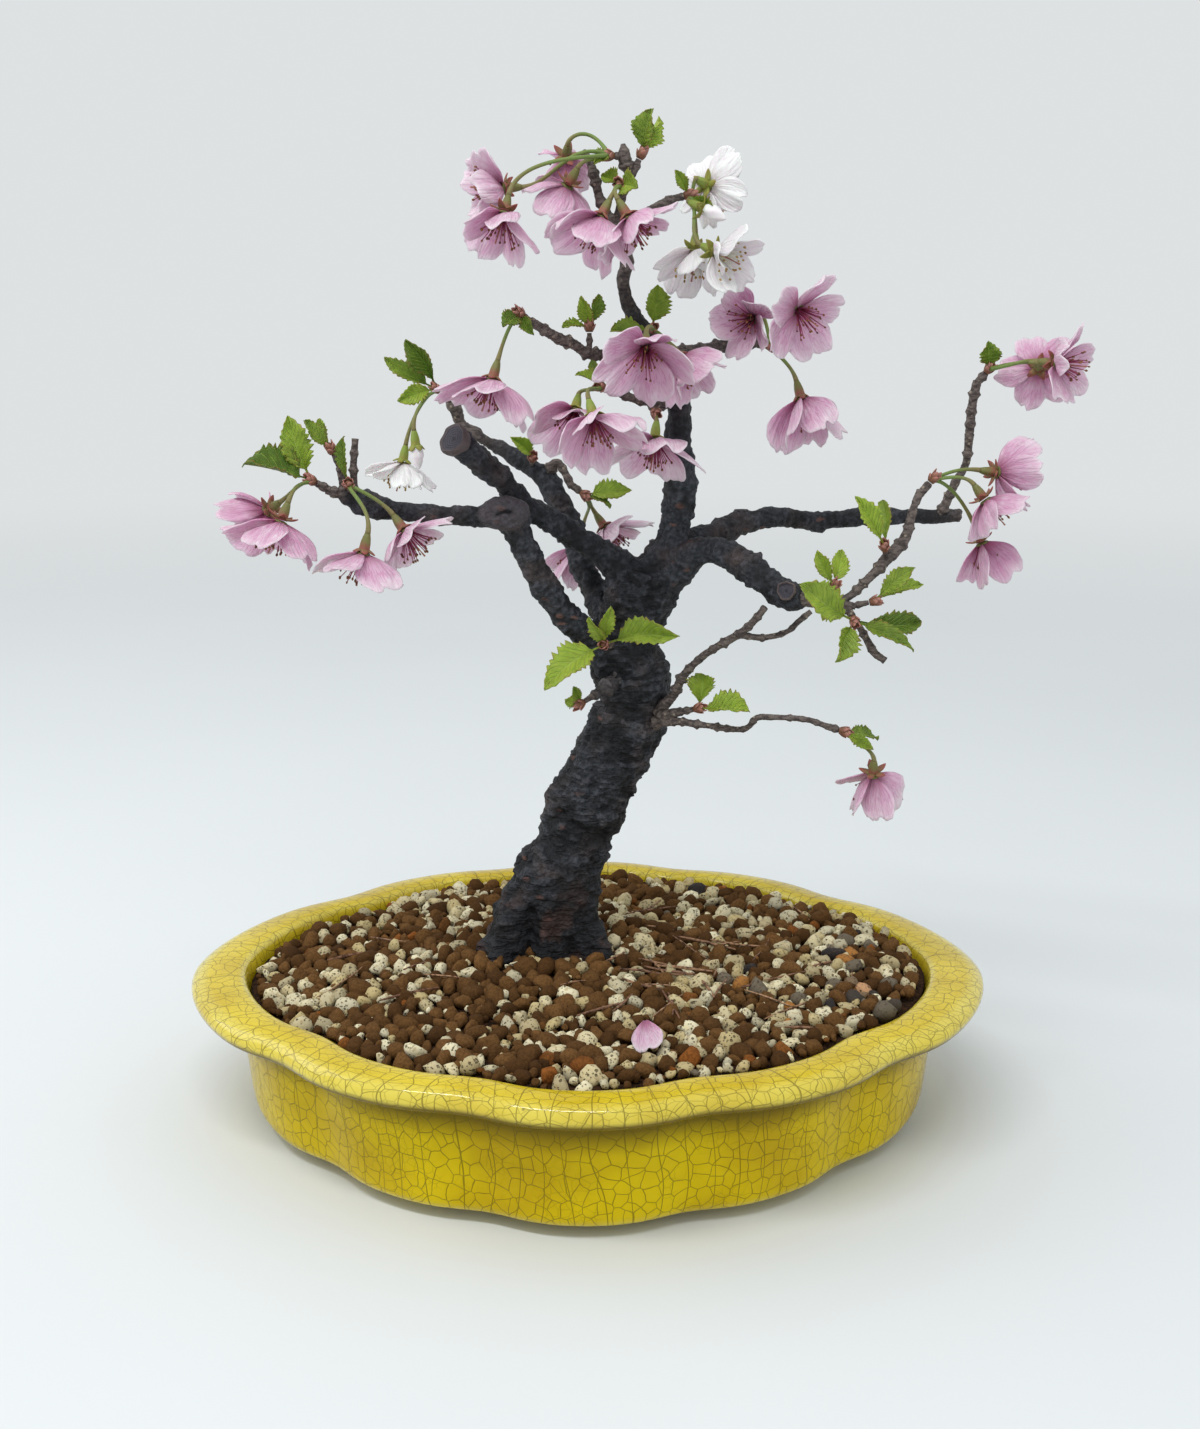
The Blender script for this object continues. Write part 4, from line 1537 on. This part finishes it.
def add_stamens(piece, basis, at, draw):
    """Thin three-sided threads, each a curve out from the cup, with a small ball at the end."""
    count = STAMENS
    lean = np.radians(draw.uniform(6, 40, count))
    bearing = np.arange(count) * GOLDEN_ANGLE + draw.uniform(-0.2, 0.2, count)
    length = draw.uniform(6.4, 11, count)
    t = np.linspace(0, 1, STAMEN_POINTS)
    out = 0.9 + 0.5 * draw.uniform(size=count)[:, None] + length[:, None] * np.sin(lean)[:, None] * t**1.25
    up = 0.7 + length[:, None] * np.cos(lean)[:, None] * t
    path = np.stack([out * np.cos(bearing)[:, None], out * np.sin(bearing)[:, None], up], -1)
    ring = circle(*np.eye(3)[:2], STAMEN_SIDES)
    width = np.interp(t, [0, 1], [0.27, 0.18])[:, None, None]
    threads = path[:, :, None] + ring * width
    each = STAMEN_POINTS * STAMEN_SIDES
    ends = np.array([[0, 2, 1], [each - 3, each - 2, each - 1]])
    sides = grid_quads(STAMEN_POINTS, STAMEN_SIDES, wrap=True)
    faces = [copies(sides, count, each), copies(ends, count, each)]
    lay = np.broadcast_to(t[:, None, None], threads.shape) * [1, 0, 0]
    piece.add(threads @ basis.T + at, faces, lay.reshape(-1, 3), 1)
    points, tips = ball(1)
    anthers = points * (np.array(ANTHER_SIZE) * draw.uniform(0.85, 1.2, (count, 1, 1))) + path[:, -1:, :]
    lay = np.broadcast_to(draw.uniform(size=(count, 1, 1)), anthers.shape).reshape(-1, 3)
    piece.add(anthers @ basis.T + at, [copies(tips, count, len(points))], lay, 2)


CUP_PROFILE = [(1.5, 0.02), (2.1, 0.25), (2.4, 0.6), (2.2, 0.95), (1.8, 0.8), (0.9, 0.55)]   # radius, ahead


def add_bloom(piece, bloom, seed, deep):
    """Petals in the frame's own order of chance, then cup, pistil and stamens. Deep is how strong
    the pink is."""
    chain = seeded(seed)
    for _ in range(2 * PETALS):
        next(chain)
    draw = np.random.default_rng(seed)
    closed = max(0, CLOSING - bloom["open"])
    width = PETAL_WIDTH * (1 - 0.006 * closed)
    axis, at = unit(bloom["look"]), np.array(bloom["at"], float)
    basis = turn_to(axis)
    shade = draw.uniform(0, 0.35) + deep
    for number in range(PETALS):
        size = 1 + (next(chain) - 0.5) * 0.12
        tilt = 90 - bloom["open"] + (next(chain) - 0.5) * 10
        rolls = [0.2 + 0.12 * next(chain) for _ in range(6)]
        curls = [(rolls[0] + rolls[3]) / 2, (rolls[2] + rolls[5]) / 2]
        if number not in bloom.get("petals", range(PETALS)):
            continue
        wide = width * size * bloom["length"] / PETAL_LENGTH
        grid, u, v = petal_grid(bloom["length"] * size, wide, PINWHEEL + 0.7 * closed, curls, draw)
        grid = turned(grid, tilt, 360 / PETALS * number + bloom["turn"], 0.55) @ basis.T + at
        add_sheet(piece, grid, u, v, np.clip(shade + draw.uniform(0, 0.4), 0, 1), 0.3, 0)
    radii, ahead = np.array(CUP_PROFILE).T[..., None]
    across, upward = aside(axis)
    ring = circle(across, upward, RIBBED_SIDES)
    piece.add(*close_rings((at + axis * ahead)[:, None] + ring * radii[..., None]), (0.1, 0, 0.2), 3)
    t = np.linspace(0, 1, 6)
    style = at + axis * (0.6 + 11 * t)[:, None] + across * 0.7 * t[:, None] ** 2
    piece.add(*tube(style, np.interp(t, [0, 0.9, 1], [0.3, 0.17, 0.34]), 6), (0.5, 0, 0.5), 4)
    add_stamens(piece, basis, at, draw)


# %% Shoots with their stalks, scales and leaves
STARS = {"apex_bud", "high_right", "grey_tip", "end_spur", "low_tip", "white"}   # sepals bend back
GREEN = {"low_left", "low_front"}          # calyx without red
FRESH = {"trunk_leaf", "fork_leaf"}        # leaves of the brighter green
for number, shoot in enumerate(SHOOTS):
    draw = np.random.default_rng(700 + number)
    foot, centre, along = bud_of(shoot)
    pale = any(bloom.get("white") for bloom in shoot["blooms"]) or shoot["name"] in GREEN
    calyx = GREEN_CALYX if pale else CALYX
    piece = Piece("growth_" + shoot["name"], LEAF, STALK, calyx, SCALE, WHITE_PETAL)
    add_scales(piece, foot, along, draw)
    for bloom in [*shoot["blooms"], *shoot["bud"]]:
        path, neck, mouth, axis = stalk_path(centre, along, bloom)
        radius = np.interp(STALK_SHARE, [0, 0.15, 0.75, 1], [0.95, 0.64, 0.66, 0.95])
        points, faces = tube(path, radius, STALK_SIDES)
        piece.add(points, faces, lay_of(points, np.repeat(STALK_SHARE, STALK_SIDES)), 1)
        lean = SEPAL_LEAN_BACK if shoot["name"] in STARS else 0.85 * bloom.get("open", 30) + 12
        add_calyx(piece, neck, mouth, axis, bloom.get("turn", 0) + 36, lean, 2)
        if bloom in shoot["bud"]:
            add_closed_bud(piece, mouth, axis)
    fresh = 0.45 if shoot["name"] in FRESH else 0.0
    for leaf in shoot["leaves"]:
        sheet_grid = leaf_grid(centre, leaf["tip"], leaf["width"], leaf["look"], draw)
        add_sheet(piece, *sheet_grid, fresh + (0.8 - fresh) * draw.uniform(), 0.3, 0)
    piece.make("young_growth", "shoot_" + shoot["name"])

# %% Blooms
DEEP = {                      # how much deeper or paler than usual the pink of a shoot's blooms is
    "apex_front": 0.12, "right_tip": -0.05, "grey_tip": 0.25, "left_tip": 0.25, "low_left": 0.15,
    "end_spur": 0.55, "inner": -0.3,
}
for number, shoot in enumerate(SHOOTS):
    for index, first in enumerate(shoot["blooms"]):
        if "joins" in first:
            continue
        white = "white" in first
        finishes = (WHITE_PETAL, WHITE_FILAMENT, PALE_ANTHER) if white else (PINK_PETAL, FILAMENT, ANTHER)
        piece = Piece(f"blossom_{shoot['name']}_{index + 1}", *finishes, CALYX, PISTIL)
        for other, bloom in enumerate(shoot["blooms"]):
            if other == index or bloom.get("joins") == index:
                add_bloom(piece, bloom, 100 * number + 7 * other + 3, DEEP.get(shoot["name"], 0))
        piece.make("white_petal" if white else "pink_petal", f"bloom_{shoot['name']}_{index + 1}")

# %% Fallen petal
FALLEN_TURN = 185         # degrees that its tip is turned to
fallen = Piece("fallen_petal_sheet", PINK_PETAL)
grid, u, v = petal_grid(12.5, 11, PINWHEEL, [0.26, 0.26], np.random.default_rng(5))
grid = grid @ about("z", FALLEN_TURN).T
middle = (grid.max(axis=(0, 1)) + grid.min(axis=(0, 1))) / 2
grid = grid - [middle[0], middle[1], grid[..., 2].min() - 0.3]
grid = grid @ about("x", PETAL_SLOPE).T + [*FALLEN_PETAL, spot_level(FALLEN_PETAL[1])]
add_sheet(fallen, grid, u, v, 0.3, 0.3, 0)
fallen.make("pink_petal", "fallen_petal")

# %% [markdown]
# ## Floor and light
# A plain pale floor and a pale surround give soft, nearly shadowless light, as in a white room.
# Two lamps add a little direction: the main one is a long narrow strip, high in front, whose
# reflection draws a bright line along the lip, and a weaker square one stands at the left.

# %% Floor, surround and lamps
FLOOR_HALF, FADE_FROM, FADE_TO = 3.0, 0.6, 2.3            # metres
SURROUND = (0.73, 0.755, 0.764)
LAMP_TARGET = (0, 0, 180)


def floor():
    """A pale square that fades, well away from the pot, into the light of the surround."""
    ground = Finish("pale_floor", {"Roughness": 0.6, "Specular IOR Level": 0.0, "Emission Strength": 1.0})
    place = ground.place()
    smudge = ground.noise(place, 0.4, 3.0)
    reach = ground.node("ShaderNodeVectorMath", {"operation": "LENGTH"}, {0: place}, "Value")
    far = reach.step(FADE_FROM, FADE_TO)
    ground.put(ground.surface.inputs["Emission Color"], ground.mix(far, (0, 0, 0), SURROUND))
    near = ground.mix(smudge, tone(220, 224, 225), tone(227, 231, 232))
    finish = ground.dress(ground.mix(far, near, (0, 0, 0)))
    mesh = bpy.data.meshes.new("floor")
    corners = np.array([[-1, -1, 0], [1, -1, 0], [1, 1, 0], [-1, 1, 0]]) * FLOOR_HALF
    mesh.from_pydata(corners.tolist(), [], [[0, 1, 2, 3]])
    mesh.materials.append(finish)
    into_scene("floor", mesh)


def lamp(name, place, size, power):
    """An area lamp, size[0] wide and size[1] high in metres, whose face points at the target: it
    is tipped by the angle between its way and straight up, then turned to its side's bearing."""
    light = bpy.data.lights.new(name, "AREA")
    light.shape, light.energy = "RECTANGLE", power
    light.size, light.size_y = size
    made = into_scene(name, light)
    made.location = in_frame(place)
    way = unit(np.subtract(place, LAMP_TARGET))
    side = unit(np.cross([0, 0, 1], way))
    made.rotation_euler = (math.acos(way[2]), 0, math.atan2(side[1], side[0]))


floor()
world = bpy.data.worlds.new("surround")
world.use_nodes = True
background = world.node_tree.nodes["Background"]
background.inputs["Color"].default_value, background.inputs["Strength"].default_value = (*SURROUND, 1), 1
bpy.context.scene.world = world
bpy.context.scene.view_settings.view_transform = "Standard"
lamp("main_lamp", (-250, -650, 1300), (1.0, 0.12), 8.5)
lamp("side_lamp", (-1100, 200, 800), (0.8, 0.8), 3)
